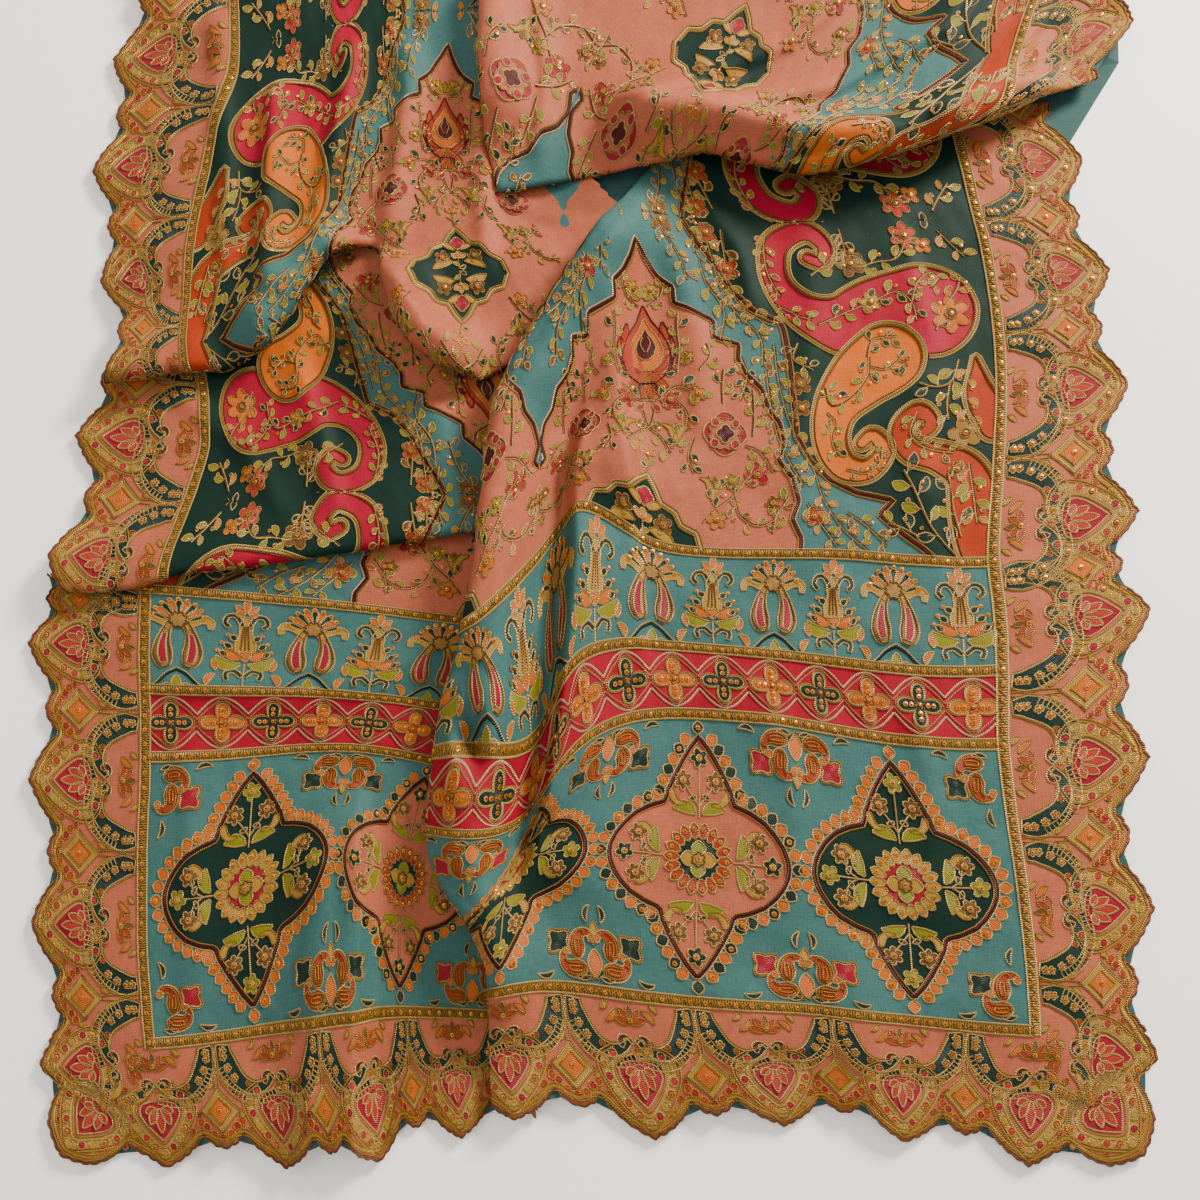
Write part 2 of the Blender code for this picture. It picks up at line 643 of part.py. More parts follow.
def whole_groups(triangles, least):
    """Groups that share edges, without triangles that only hang on by a corner."""
    result = []
    for group in joined_groups(triangles):
        while True:
            bad = pinches(group)
            if not bad:
                break
            keep = ~np.isin(group, bad).any(1)
            group = group[keep]
            if not len(group):
                break
            group = joined_groups(group)[0]
        if len(group) >= least:
            result.append(group)
    return result


def build_stretch(stretch):
    """Makes the stretch's panels, borders and gold bands, and gives points all over its underside."""
    cloth, triangles = stretch_mesh(stretch)
    points = laid(stretch, cloth)
    normals = normals_of(points, triangles)
    middles = cloth[triangles].mean(1)
    u, v = np.abs(middles[:, 0]), middles[:, 1]
    half_gap = SEAM_GAP / 2
    in_field = u < FIELD_HALF_WIDTH - half_gap
    sides = {
        "middle": in_field,
        "side": u > FIELD_HALF_WIDTH + half_gap,
        "hem": np.ones(len(u), bool),
    }
    for name, colour, low, high, place in PANELS:
        chosen = sides[place] & (v > low + half_gap) & (v < high - half_gap)
        for number, group in enumerate(whole_groups(triangles[chosen], 4)):
            suffix = "" if number == 0 else f"_{number + 1}"
            sheet_solid(f"{stretch}_{name}{suffix}", points, normals, group, -WALL, 0.0, colour)
    for name, axis, place, width in BANDS:
        if axis == "v":
            chosen = (np.abs(v - place) < width / 2) & (u < FIELD_HALF_WIDTH - width / 2 - 1)
        else:
            chosen = (np.abs(u - place) < width / 2) & (v > HEM_SEAM + half_gap)
        for number, group in enumerate(whole_groups(triangles[chosen], 6)):
            suffix = "" if number == 0 else f"_{number + 1}"
            bottom = CLEARANCE
            sheet_solid(
                f"{stretch}_{name}{suffix}", points, normals, group, bottom, bottom + BAND_THICKNESS, "gold band"
            )
    corners = (points - normals * WALL)[triangles]
    parts = SAMPLES_ALONG_EDGE
    shares = [(i, j, parts - i - j) for i in range(parts + 1) for j in range(parts + 1 - i)]
    return np.einsum("sc,tcx->tsx", np.array(shares) / parts, corners).reshape(-1, 3)


def backing_outline():
    """The table outline of the layers folded beneath, just inside the border's notches."""
    reach = FIELD_HALF_WIDTH + BACKING_REACH
    low = HEM_SEAM - BACKING_REACH
    runs = [
        ("left", [(-reach, v) for v in (low + 20, 130, 220, 310, 390)]),
        ("fold", [(-reach, v) for v in (620, 680, 740)]),
        ("upper", [(-reach, v) for v in (930, 1020, 1110, 1200)]),
    ]
    points = []
    for stretch, line in runs:
        points.append(on_table(stretch, np.array(line, float)))
    points.append(np.array([(-365.0, 505.0), (380.0, 498.0), (415.0, 440.0)]))
    points.append(on_table("right", np.array([(reach, v) for v in (700, 600, 500, 400, 300, 200, 110, low + 20)], float)))
    points.append(on_table("right", np.array([(u, low) for u in (reach - 25, 300, 200, 100, 10)], float)))
    points.append(on_table("left", np.array([(u, low) for u in (-60, -150, -250, -340, -reach + 25)], float)))
    return resampled(np.concatenate(points + [points[0][:1]]), 26.0)[:-1]


def build_backing(underside):
    """The hidden layers as one rounded solid: flat beneath, stepped at the rim, full under the folds."""
    outline = backing_outline()
    fine_outline = resampled(np.concatenate([outline, outline[:1]]), 6.0)
    xs = np.arange(outline[:, 0].min(), outline[:, 0].max(), BACKING_STEP)
    ys = np.arange(outline[:, 1].min(), outline[:, 1].max(), BACKING_STEP)
    grid = np.array([(x, y) for y in ys for x in xs])
    grid = grid[inside_loop(outline, grid)]
    room = np.array([np.linalg.norm(fine_outline - spot, axis=1).min() for spot in grid])
    grid, room = grid[room > BACKING_STEP / 2], room[room > BACKING_STEP / 2]

    def lowest_near(spots):
        found = [underside[(np.abs(underside[:, :2] - spot) < BACKING_STEP * 1.05).all(1), 2] for spot in spots]
        return np.array([near.min() if len(near) else 0 for near in found])

    top = np.clip(lowest_near(grid) - BACKING_GAP, 0.5, BACKING_RIM + 0.6 * room)
    rim = np.clip(lowest_near(outline) - BACKING_GAP, 0.5, BACKING_RIM)
    points = [Vector(p) for p in outline] + [Vector(p) for p in grid]
    edges = [(i, (i + 1) % len(outline)) for i in range(len(outline))]
    made = delaunay_2d_cdt(points, edges, [], 0, 0.01)
    flat = np.array([(p.x, p.y) for p in made[0]])
    faces = np.array(made[2])
    faces = faces[inside_loop(outline, flat[faces].mean(1))]
    given = np.concatenate([rim, top])
    heights = np.array([given[original[0]] for original in made[3]])
    mesh = bmesh.new()
    placed = np.concatenate([flat - MIDDLE, heights[:, None]], 1) * MM
    upper = [mesh.verts.new(spot) for spot in placed.tolist()]
    for face in faces:
        mesh.faces.new([upper[i] for i in face])
    rim = [edge for edge in mesh.edges if edge.is_boundary]
    around_rim = bmesh.ops.extrude_edge_only(mesh, edges=rim)
    lower = [item for item in around_rim["geom"] if isinstance(item, bmesh.types.BMVert)]
    for vert in lower:
        vert.co.z = 0
    bottom = [edge for edge in mesh.edges if edge.is_boundary]
    bmesh.ops.triangle_fill(mesh, edges=bottom, use_beauty=True)
    loose = [vert for vert in mesh.verts if not vert.link_faces]
    bmesh.ops.delete(mesh, geom=loose, context="VERTS")
    bmesh.ops.triangulate(mesh, faces=mesh.faces[:])
    bmesh.ops.recalc_face_normals(mesh, faces=mesh.faces[:])
    data = bpy.data.meshes.new("backing_layers")
    mesh.to_mesh(data)
    mesh.free()
    solid = bpy.data.objects.new("backing_layers", data)
    solid.data.materials.append(material("teal silk"))
    bpy.context.scene.collection.objects.link(solid)


def main():
    for leftover in list(bpy.data.objects):
        bpy.data.objects.remove(leftover, do_unlink=True)
    build_backing(np.concatenate([build_stretch(stretch) for stretch in OUTLINES]))


main()
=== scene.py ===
"""The embroidered dupatta laid with its folds: cloth, embroidery, gold bands and light.

The flat cloth has its own axes: U across it from the middle, V along it from the hem tips, in
millimetres. Sewing is laid out on the flat cloth and carried to the table with it.
"""

import math

import bpy
import numpy as np
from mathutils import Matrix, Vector


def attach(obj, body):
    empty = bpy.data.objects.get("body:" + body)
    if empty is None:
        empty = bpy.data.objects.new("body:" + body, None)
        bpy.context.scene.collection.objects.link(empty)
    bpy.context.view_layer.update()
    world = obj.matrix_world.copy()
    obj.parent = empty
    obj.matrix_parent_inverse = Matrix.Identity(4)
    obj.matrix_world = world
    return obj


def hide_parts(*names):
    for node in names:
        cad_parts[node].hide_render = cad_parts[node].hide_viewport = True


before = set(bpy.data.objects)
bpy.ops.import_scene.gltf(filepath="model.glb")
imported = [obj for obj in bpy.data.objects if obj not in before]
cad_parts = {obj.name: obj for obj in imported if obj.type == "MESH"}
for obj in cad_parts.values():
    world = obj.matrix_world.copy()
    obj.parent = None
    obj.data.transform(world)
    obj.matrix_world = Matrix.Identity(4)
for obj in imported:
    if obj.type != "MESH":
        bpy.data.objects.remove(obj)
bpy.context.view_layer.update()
NODES = [node.name for node in bpy.data.objects if node.type == "MESH"]

MM = 0.001
# The tables' own origin is the middle of the view; this is the middle of the laid cloth in them
MIDDLE = (5.3, 66.5)

# The cut of the cloth
FIELD_HALF_WIDTH = 367.0
HEM_SEAM = 88.0
STRIP_LOW_SEAM = 280.0
STRIP_HIGH_SEAM = 329.0
FIELD_SEAM = 409.0

# Thicknesses
WALL = 2.0
CLEARANCE = 0.3

# Scallops of the border, measured out from the gold band
HEM_PITCH = 2 * FIELD_HALF_WIDTH / 8
SIDE_PITCH = 93.0
END_SCALLOPS = (72.0, 168.0, 264.0, 360.0)
FIRST_FIELD_SCALLOP = 432.0
BIG_TIP = 86.0
SMALL_TIP = 73.0
CORNER_TIP = 108.0
CORNER_NOTCH = 74.0
DROOP_HEIGHT = 4.9
DROOP_STARTS = (15.0, 90.0)

# Radii that the cloth turns under with at a fold edge
SMALLEST_ROLL = 1.6
LARGEST_ROLL = 15.0

# Past a corner of a line two of its parts are equally near: the one more aside is taken
TIE_BREAK = 1e-4

# Height of each stretch above the table, away from its folds
REST_HEIGHT = {"left": 7.0, "fold": 7.0, "upper": 15.0, "top": 16.0, "right": 8.0}

# Marked spots of each stretch: across the cloth, along it, then x and y on the table
SPOTS = {
    "right": [
        (367, 88, 295, -298), (287, 184, 211, -202), (144, 184, 69, -185), (2, 184, -60, -186),
        (144, 88, 68, -280), (0, 88, -66, -269), (367, 280, 284, -105), (367, 409, 284, 26),
        (112, 409, 36, 38), (367, 680, 286, 307), (286, 660, 205, 286), (105, 565, 34, 192),
        (420, 524, 358, 159), (420, 359, 359, -12), (233, 650, 152, 272), (159, 503, 89, 126),
        (56, 329, -14, -44), (50, 409, -16, 68), (367, 4, 286, -384), (92, 4, 37, -368),
        (0, 4, -57, -352), (183, 4, 124, -358), (275, 4, 203, -368), (205, 280, 127, -88),
        (98, 280, 28, -85), (265, 409, 181, 32), (62, 560, -4, 176), (175, 705, 69, 334),
        (-98, 305, -109, -144), (-62, 305, -75, -144), (-22, 315, -46, -123), (-72, 243, -87, -194),
        (-108, 262, -114, -178), (-50, 208, -76, -215), (-66, 409, -89, -24), (-10, 409, -50, 21),
        (-45, 505, -78, 102), (0, 490, -43, 105), (-85, 350, -86, -76), (15, 590, -29, 213),
        (70, 655, 0, 271), (125, 705, 31, 338), (-20, 560, -58, 169), (0, 370, -43, -31),
    ],
    "left": [
        (-367, 88, -305, -307), (-367, 8, -290, -381), (-287, 184, -245, -205),
        (-367, 280, -320, -114), (-367, 409, -328, 7), (-150, 409, -101, -16), (-144, 184, -138, -198),
        (-144, 88, -136, -286), (-275, 8, -208, -379), (-92, 8, -94, -362), (-215, 8, -166, -382),
        (-222, 184, -184, -178), (-420, 362, -380, -31),
    ],
    "fold": [
        (-286, 666, -236, 75), (-412, 711, -344, 120), (-412, 618, -356, 27), (-233, 679, -186, 90),
        (-367, 711, -289, 116), (-367, 615, -312, 16), (-233, 640, -184, 52), (-215, 840, -194, 225),
        (-140, 680, -102, 86),
    ],
    "upper": [
        (-412, 948, -335, 206), (-412, 1041, -352, 294), (-412, 1134, -347, 389),
        (-367, 948, -309, 206), (-367, 1065, -301, 322), (-367, 1155, -282, 410),
        (-105, 1079, -119, 364), (-105, 923, -105, 249), (-105, 845, -100, 176), (-105, 1150, -120, 423),
        (-240, 1030, -212, 310), (-240, 1150, -200, 420), (-240, 900, -205, 195), (0, 1079, -30, 350),
        (-105, 1210, -118, 508), (-240, 1228, -205, 508), (-367, 1245, -290, 508), (0, 1208, -24, 508),
    ],
    "top": [
        (105, 923, 96, 420), (412, 880, 365, 423), (345, 930, 301, 433), (240, 960, 214, 440),
        (350, 860, 280, 357), (235, 850, 161, 340), (0, 900, 0, 440), (20, 800, -20, 330),
        (-80, 880, -80, 460),
    ],
}

# Folds: stretch, rise, half width to the west, half width to the east (or north, south),
# run-in at the start, run-out at the end, then the crest's x and y
FOLDS = [
    ("right", 34, 34, 24, 60, 60, [(36, 317), (-18, 225), (-58, 141), (-71, 52), (-75, -34), (-82, -117),
                                   (-89, -178), (-72, -233), (-69, -300)]),
    ("right", 17, 6, 45, 50, 50, [(-7, 145), (-17, 92), (-16, 25), (-20, -32), (-27, -89), (-33, -130),
                                  (-43, -178), (-56, -215)]),
    ("right", 6, 40, 40, 40, 40, [(-60, -400), (-62, -230)]),
    ("right", 9, 25, 9, 30, 30, [(21, 281), (9, 202), (16, 124), (29, 56)]),
    ("right", -22, 20, 20, 12, 12, [(-101, -104), (-76, -101)]),
    ("right", 7, 25, 25, 60, 60, [(86, -392), (90, -342), (109, -251)]),
    ("right", 7, 25, 25, 60, 60, [(185, -392), (184, -329), (171, -238)]),
    ("left", 18, 45, 9, 60, 10, [(-171, -130), (-165, -211), (-166, -276), (-162, -396)]),
    ("left", 7, 25, 25, 40, 40, [(-244, -398), (-252, -316)]),
    ("fold", 13, 34, 34, 20, 10, [(-40, 52), (-144, 51), (-215, 36), (-301, 24), (-450, 8)]),
    ("upper", 13, 28, 28, 10, 40, [(-470, 172), (-322, 174), (-262, 184)]),
    ("upper", -7, 45, 45, 10, 30, [(-50, 570), (-50, 262)]),
    ("upper", 28, 35, 22, 30, 30, [(-262, 178), (-204, 245), (-172, 266)]),
    ("upper", 32, 20, 20, 30, 30, [(-156, 258), (-148, 215), (-124, 184), (-86, 176)]),
    ("top", 38, 26, 22, 40, 60, [(0, 367), (75, 363), (148, 343), (223, 343), (298, 367), (360, 396)]),
    ("top", 24, 20, 30, 40, 40, [(-85, 513), (-84, 411), (-75, 345)]),
    # Creases too narrow for the solids
    ("right", 6, 4, 18, 30, 30, [(-16, 60), (-20, 0), (-24, -60), (-30, -108), (-36, -160)]),
    ("right", 4.5, 16, 3.5, 30, 40, [(5, 242), (12, 211), (14, 145), (19, 118), (25, 40), (28, -14),
                                     (31, -71)]),
    ("right", 4, 12, 12, 30, 30, [(43, 303), (60, 246), (71, 196), (76, 120)]),
    ("right", 4, 5, 12, 30, 30, [(72, 318), (102, 270), (118, 210)]),
    ("right", 3, 14, 14, 30, 40, [(150, 320), (160, 230), (150, 130), (140, 40)]),
    ("right", 3, 16, 10, 40, 40, [(225, 300), (245, 200), (235, 100), (245, 0)]),
    ("right", 3, 16, 10, 40, 40, [(110, -60), (140, -140), (130, -230)]),
    ("right", 3, 12, 12, 40, 40, [(215, -60), (235, -150), (225, -250)]),
    ("right", 5, 10, 6, 20, 20, [(-98, -60), (-92, -100), (-98, -150)]),
    ("right", 5, 9, 9, 20, 20, [(-66, 150), (-76, 90), (-84, 20), (-92, -40)]),
    ("left", 4, 16, 8, 40, 20, [(-192, -150), (-190, -260), (-192, -396)]),
    ("left", 3.5, 12, 12, 40, 30, [(-290, -90), (-282, -200), (-276, -300)]),
    ("left", 3, 12, 12, 20, 20, [(-320, -60), (-200, -70), (-110, -40)]),
    ("upper", 10, 6, 14, 20, 20, [(-250, 400), (-250, 327), (-250, 269), (-242, 222)]),
    ("upper", 8, 9, 11, 20, 30, [(-150, 440), (-147, 393), (-154, 320), (-160, 262)]),
    ("upper", 8, 8, 11, 20, 30, [(-190, 440), (-196, 380), (-206, 320), (-214, 270)]),
    ("upper", 6, 9, 9, 20, 30, [(-96, 470), (-92, 400), (-90, 330), (-86, 250)]),
    ("upper", 5, 8, 8, 20, 30, [(-300, 470), (-292, 400), (-284, 330), (-280, 240)]),
    ("fold", 5, 12, 12, 20, 20, [(-125, 150), (-111, 94), (-84, 43)]),
    ("fold", 5, 12, 8, 20, 20, [(-230, 190), (-205, 120), (-190, 60)]),
    ("fold", 4, 8, 12, 20, 20, [(-320, 160), (-262, 110), (-222, 50)]),
    ("top", 6, 14, 5, 10, 40, [(14, 366), (73, 403), (147, 432), (200, 480)]),
    ("top", 6, 14, 5, 20, 40, [(88, 374), (184, 396), (268, 447), (300, 500)]),
    ("top", 6, 14, 5, 20, 40, [(240, 350), (310, 400), (350, 470)]),
    ("top", 5, 6, 12, 20, 30, [(-50, 330), (-40, 400), (-50, 480)]),
]

# What shows of each stretch, clockwise: runs of the table outline, "fold" where the cloth turns under
# and "under" where it goes on beneath another stretch
OUTLINES = {
    "left": [
        ("under", [(-465, 39), (-327, 43), (-102, 73), (-72, -1), (-56, -116), (-70, -178), (-55, -232),
                   (-41, -252), (-40, -420), (-440, -430), (-465, 39)]),
    ],
    "fold": [
        ("under", [(-440, 1), (-440, 193), (-356, 201), (-276, 224), (-204, 285), (-151, 285), (-97, 224),
                   (-41, 224), (-15, 162), (-40, 86), (-50, 46)]),
        ("fold", [(-50, 46), (-97, 46), (-144, 39), (-215, 27), (-301, 16), (-336, 5), (-440, 1)]),
    ],
    "upper": [
        ("under", [(-457, 159), (-457, 520)]),
        ("fold", [(-457, 520), (-35, 520)]),
        ("under", [(-35, 520), (-22, 350), (16, 300), (6, 250), (-7, 221)]),
        ("fold", [(-7, 221), (-40, 201), (-59, 180), (-88, 162), (-117, 168), (-139, 186), (-153, 212),
                  (-163, 243), (-167, 270), (-186, 266), (-204, 251), (-222, 221), (-242, 188),
                  (-278, 169), (-322, 164), (-365, 160), (-457, 159)]),
    ],
    "top": [
        ("fold", [(-94, 512), (464, 512)]),
        ("under", [(464, 512), (464, 424)]),
        ("fold", [(464, 424), (400, 414), (345, 389), (299, 365), (260, 346), (223, 331), (185, 322),
                  (148, 319), (111, 328), (74, 339), (30, 331)]),
        ("under", [(30, 331), (29, 253), (-29, 222), (-74, 300)]),
        ("fold", [(-74, 300), (-89, 356), (-94, 422), (-94, 512)]),
    ],
    "right": [
        ("under", [(38, 338), (76, 379), (457, 400), (420, -418), (-73, -418)]),
        ("fold", [(-73, -418), (-74, -344), (-74, -282), (-76, -254), (-86, -230), (-101, -211),
                  (-114, -192), (-119, -174), (-119, -144), (-116, -110), (-110, -76), (-101, -44),
                  (-95, -20), (-90, 23), (-86, 67), (-76, 142), (-58, 187), (-29, 234), (0, 281),
                  (38, 338)]),
    ],
}

# Sharp corners of fold edges, where the cloth turns under tightly
PINCHES = {"upper": [(-167, 270)]}

# Which stretches each one lies on
LIES_ON = {
    "left": (),
    "fold": ("left",),
    "upper": ("fold",),
    "top": ("right", "upper"),
    "right": ("left", "fold", "upper", "top"),
}


def smooth(start, end, value):
    """0 below start, 1 above end, and an S curve between them."""
    share = np.clip((value - start) / (end - start), 0, 1)
    return share * share * (3 - 2 * share)


def across(line, spots):
    """Distance of each spot from a line of points, positive to its left, and the distance along it."""
    line = np.asarray(line, float)
    steps = line[1:] - line[:-1]
    lengths = np.linalg.norm(steps, axis=1)
    starts = np.concatenate([[0], np.cumsum(lengths)])
    off = spots[..., None, :] - line[:-1]
    share = np.einsum("...ij,ij->...i", off, steps) / lengths**2
    low = np.zeros(len(steps))
    high = np.ones(len(steps))
    low[0], high[-1] = -np.inf, np.inf
    share = np.clip(share, low, high)
    rest = off - share[..., None] * steps
    distance = np.linalg.norm(rest, axis=-1)
    aside = (steps[:, 0] * off[..., 1] - steps[:, 1] * off[..., 0]) / lengths
    side = np.sign(aside)
    nearest = (distance - TIE_BREAK * np.abs(aside)).argmin(-1)[..., None]
    pick = lambda values: np.take_along_axis(values, nearest, -1)[..., 0]
    return pick(side * distance), pick(starts[:-1] + share * lengths), starts[-1]


def height(stretch, spots):
    """Height of the cloth's face over spots of the table: its rest height, and a bell for each fold."""
    rise = np.full(spots.shape[:-1], REST_HEIGHT[stretch])
    for owner, peak, west, east, run_in, run_out, crest in FOLDS:
        if owner != stretch:
            continue
        offset, along, length = across(crest, spots)
        heads_down = crest[-1][1] < crest[0][1] and abs(crest[-1][1] - crest[0][1]) > abs(
            crest[-1][0] - crest[0][0]
        )
        width = np.where(offset > 0, east if heads_down else west, west if heads_down else east)
        ends = smooth(-0.3 * run_in, run_in, along) * (
            1 - smooth(length - run_out, length + 0.3 * run_out, along)
        )
        rise += peak * ends * np.exp(-((offset / width) ** 2))
    return rise


def running_mean(values, reach):
    """Each value's mean with as many before it and after it as reach says; the ends are repeated."""
    count = 2 * reach + 1
    return np.convolve(np.pad(values, reach, mode="edge"), np.ones(count) / count, mode="valid")


def thin_plate(distance):
    """The bend of a thin plate at a distance from a pin, in hundreds of millimetres."""
    r = distance / 100
    return np.where(r > 0, r * r * np.log(r + 1e-9), 0)


def pull_of(stretch, slack=0.06):
    """The weights of the thin plate pull that carries the marked spots to their places."""
    rows = np.array(SPOTS[stretch], float)
    pins, places = rows[:, :2], rows[:, 2:]
    bend = thin_plate(np.linalg.norm(pins[:, None] - pins, axis=-1)) + np.eye(len(pins)) * slack
    plane = np.concatenate([np.ones((len(pins), 1)), pins / 100], 1)
    system = np.block([[bend, plane], [plane.T, np.zeros((3, 3))]])
    return pins, np.linalg.solve(system, np.concatenate([places - pins, np.zeros((3, 2))]))


PULLS = {stretch: pull_of(stretch) for stretch in SPOTS}


def on_table(stretch, cloth):
    """Table x and y of points of the flat cloth: the point, a plane shift and the thin plate's bends."""
    pins, weights = PULLS[stretch]
    bend = thin_plate(np.linalg.norm(cloth[..., None, :] - pins, axis=-1))
    count = len(pins)
    return cloth + bend @ weights[:count] + weights[count] + (cloth / 100) @ weights[count + 1 :]


def on_cloth(stretch, table):
    """The flat cloth's points that lie at spots of the table, by Newton steps on on_table."""
    rows = np.array(SPOTS[stretch], float)
    nearest = np.linalg.norm(table[:, None] - rows[:, 2:], axis=-1).argmin(1)
    cloth = rows[nearest, :2] + table - rows[nearest, 2:]
    step = 0.5
    for _ in range(30):
        miss = table - on_table(stretch, cloth)
        du = (on_table(stretch, cloth + (step, 0)) - on_table(stretch, cloth - (step, 0))) / (2 * step)
        dv = (on_table(stretch, cloth + (0, step)) - on_table(stretch, cloth - (0, step))) / (2 * step)
        turn = du[:, 0] * dv[:, 1] - du[:, 1] * dv[:, 0]
        turn = np.where(np.abs(turn) < 0.15, 0.15, turn)
        move_u = (miss[:, 0] * dv[:, 1] - miss[:, 1] * dv[:, 0]) / turn
        move_v = (miss[:, 1] * du[:, 0] - miss[:, 0] * du[:, 1]) / turn
        cloth = cloth + np.clip(np.stack([move_u, move_v], -1), -15, 15)
    return cloth


def fold_edges(stretch):
    """The stretch's fold edges as lines with the stretch on their right."""
    return [line for kind, line in OUTLINES[stretch] if kind == "fold"]


def resampled(line, step):
    """A line's points again, about one step apart."""
    line = np.asarray(line, float)
    lengths = np.linalg.norm(line[1:] - line[:-1], axis=1)
    starts = np.concatenate([[0], np.cumsum(lengths)])
    count = max(2, int(round(starts[-1] / step)) + 1)
    marks = np.linspace(0, starts[-1], count)
    return np.stack([np.interp(marks, starts, line[:, axis]) for axis in (0, 1)], -1)


def roll_radius(stretch, line):
    """Distance along a fold edge, and the radius it turns under with, to clear what it lies on."""
    points = resampled(line, 10.0)
    steps = np.gradient(points, axis=0)
    inward = np.stack([steps[:, 1], -steps[:, 0]], -1)
    inward /= np.linalg.norm(inward, axis=1, keepdims=True)
    under = np.full(len(points), WALL)
    for lower in LIES_ON[stretch]:
        for reach in (0, 8, 16):
            under = np.maximum(under, height(lower, points + inward * reach))
    radius = (height(stretch, points + inward * 6) - under - WALL - 4 * CLEARANCE) / 2
    radius = np.clip(radius, SMALLEST_ROLL, LARGEST_ROLL)
    for corner in PINCHES.get(stretch, []):
        away = np.linalg.norm(points - corner, axis=1)
        radius = np.minimum(radius, SMALLEST_ROLL + 0.2 * away)
    radius = np.minimum(radius, running_mean(radius, 2))
    marks = np.concatenate([[0], np.cumsum(np.linalg.norm(points[1:] - points[:-1], axis=1))])
    return marks, radius


ROLLS = {
    stretch: [(line, *roll_radius(stretch, line)) for line in fold_edges(stretch)] for stretch in OUTLINES
}


def border_reach(cloth):
    """How far cloth points lie outside the gold band round the field."""
    over = np.maximum(np.abs(cloth[..., 0]) - FIELD_HALF_WIDTH, 0)
    below = np.maximum(HEM_SEAM - cloth[..., 1], 0)
    return np.hypot(over, below)


def laid(stretch, cloth):
    """World points, in millimetres, of the cloth's face."""
    table = on_table(stretch, cloth)
    drop = np.zeros(len(table))
    shift = np.zeros_like(table)
    crown = np.zeros_like(table)
    clear_of_edge = np.full(len(table), np.inf)
    for line, marks, radii in ROLLS[stretch]:
        offset, along, _ = across(line, table)
        inside = -offset
        clear_of_edge = np.minimum(clear_of_edge, inside)
        radius = np.interp(along, marks, radii)
        ahead = across(line, table + (0.05, 0))[0], across(line, table + (0, 0.05))[0]
        inward = -np.stack([(ahead[0] - offset) / 0.05, (ahead[1] - offset) / 0.05], -1)
        inward /= np.maximum(np.linalg.norm(inward, axis=-1, keepdims=True), 1e-6)
        arc = radius - inside
        turn = np.clip(arc / radius, 0, math.pi)
        beyond = np.maximum(arc - math.pi * radius, 0)
        place = np.where(arc > 0, radius - radius * np.sin(turn) + beyond, inside)
        shift += (place - inside)[:, None] * inward
        crown += np.where(arc > 0, arc, 0)[:, None] * inward
        drop = np.maximum(drop, np.where(arc > 0, radius * (1 - np.cos(turn)), 0))
    place = table + shift
    rise = height(stretch, table + crown)
    droop = smooth(0, BIG_TIP, border_reach(cloth)) * np.maximum(REST_HEIGHT[stretch] - DROOP_HEIGHT, 0)
    droop *= smooth(*DROOP_STARTS, clear_of_edge)
    return np.concatenate([place, (rise - droop - drop)[:, None]], -1)


def inside_loop(loop, points):
    """Which points lie inside a closed loop, by counting the crossings to their right."""
    inside = np.zeros(len(points), bool)
    for (x0, y0), (x1, y1) in zip(loop, np.roll(loop, -1, axis=0)):
        if y0 == y1:
            continue
        crosses = (y0 > points[:, 1]) != (y1 > points[:, 1])
        inside ^= crosses & (points[:, 0] < (x1 - x0) * (points[:, 1] - y0) / (y1 - y0) + x0)
    return inside


def stretch_loop(stretch):
    """The stretch's bounds on the flat cloth, with room for the cloth that turns under."""
    runs = []
    for kind, line in OUTLINES[stretch]:
        points = resampled(line, 14.0)
        if kind == "fold":
            steps = np.gradient(points, axis=0)
            outward = np.stack([-steps[:, 1], steps[:, 0]], -1)
            outward /= np.linalg.norm(outward, axis=1, keepdims=True)
            marks, radii = roll_radius(stretch, line)
            along = np.concatenate([[0], np.cumsum(np.linalg.norm(points[1:] - points[:-1], axis=1))])
            points = points + outward * ((math.pi - 1) * np.interp(along, marks, radii)[:, None])
        runs.append(points[:-1])
    return on_cloth(stretch, np.concatenate(runs))


# The sewing on the flat cloth

DYE_DEPTH = 0.5


def linear(red, green, blue):
    """A colour of 0 to 255 levels as linear shares of light: each level's share to the power 2.4."""
    share = np.array([red, green, blue]) / 255
    return DYE_DEPTH * np.where(share > 0.04045, ((share + 0.055) / 1.055) ** 2.4, share / 12.92)


DYES = {
    "teal": linear(68, 116, 112), "pink": linear(197, 105, 76), "green": linear(10, 46, 35),
    "crimson": linear(174, 8, 40), "orange": linear(224, 108, 18), "rust": linear(184, 58, 16),
    "mustard": linear(200, 148, 44), "gold": linear(172, 126, 50), "straw": linear(208, 170, 98),
    "bronze": linear(120, 76, 30), "lime": linear(148, 144, 12), "maroon": linear(84, 10, 16),
    "coral": linear(198, 54, 38), "cream": linear(214, 178, 130), "black green": linear(10, 24, 19),
    "band": linear(184, 142, 30), "magenta": linear(182, 6, 48), "amber": linear(222, 136, 38),
}

SEWN = {kind: [] for kind in ("thread", "shape", "band", "sequin")}


def ring_angles(count):
    """Angles evenly round a circle."""
    return np.linspace(0, 2 * math.pi, count, endpoint=False)


def unit(angle):
    """Unit vectors at angles from the U axis."""
    return np.stack([np.cos(angle), np.sin(angle)], -1)


def way_of(degrees):
    """The unit vector at degrees from the U axis."""
    return np.array([math.cos(math.radians(degrees)), math.sin(math.radians(degrees))])


def way_up(degrees):
    """The unit vector at degrees from the V axis, clockwise."""
    return way_of(degrees)[::-1]


def tapered(count, shares, values):
    """Half widths at count points of a path: values at shares of its length, straight between them."""
    return np.interp(np.linspace(0, 1, count), shares, values)


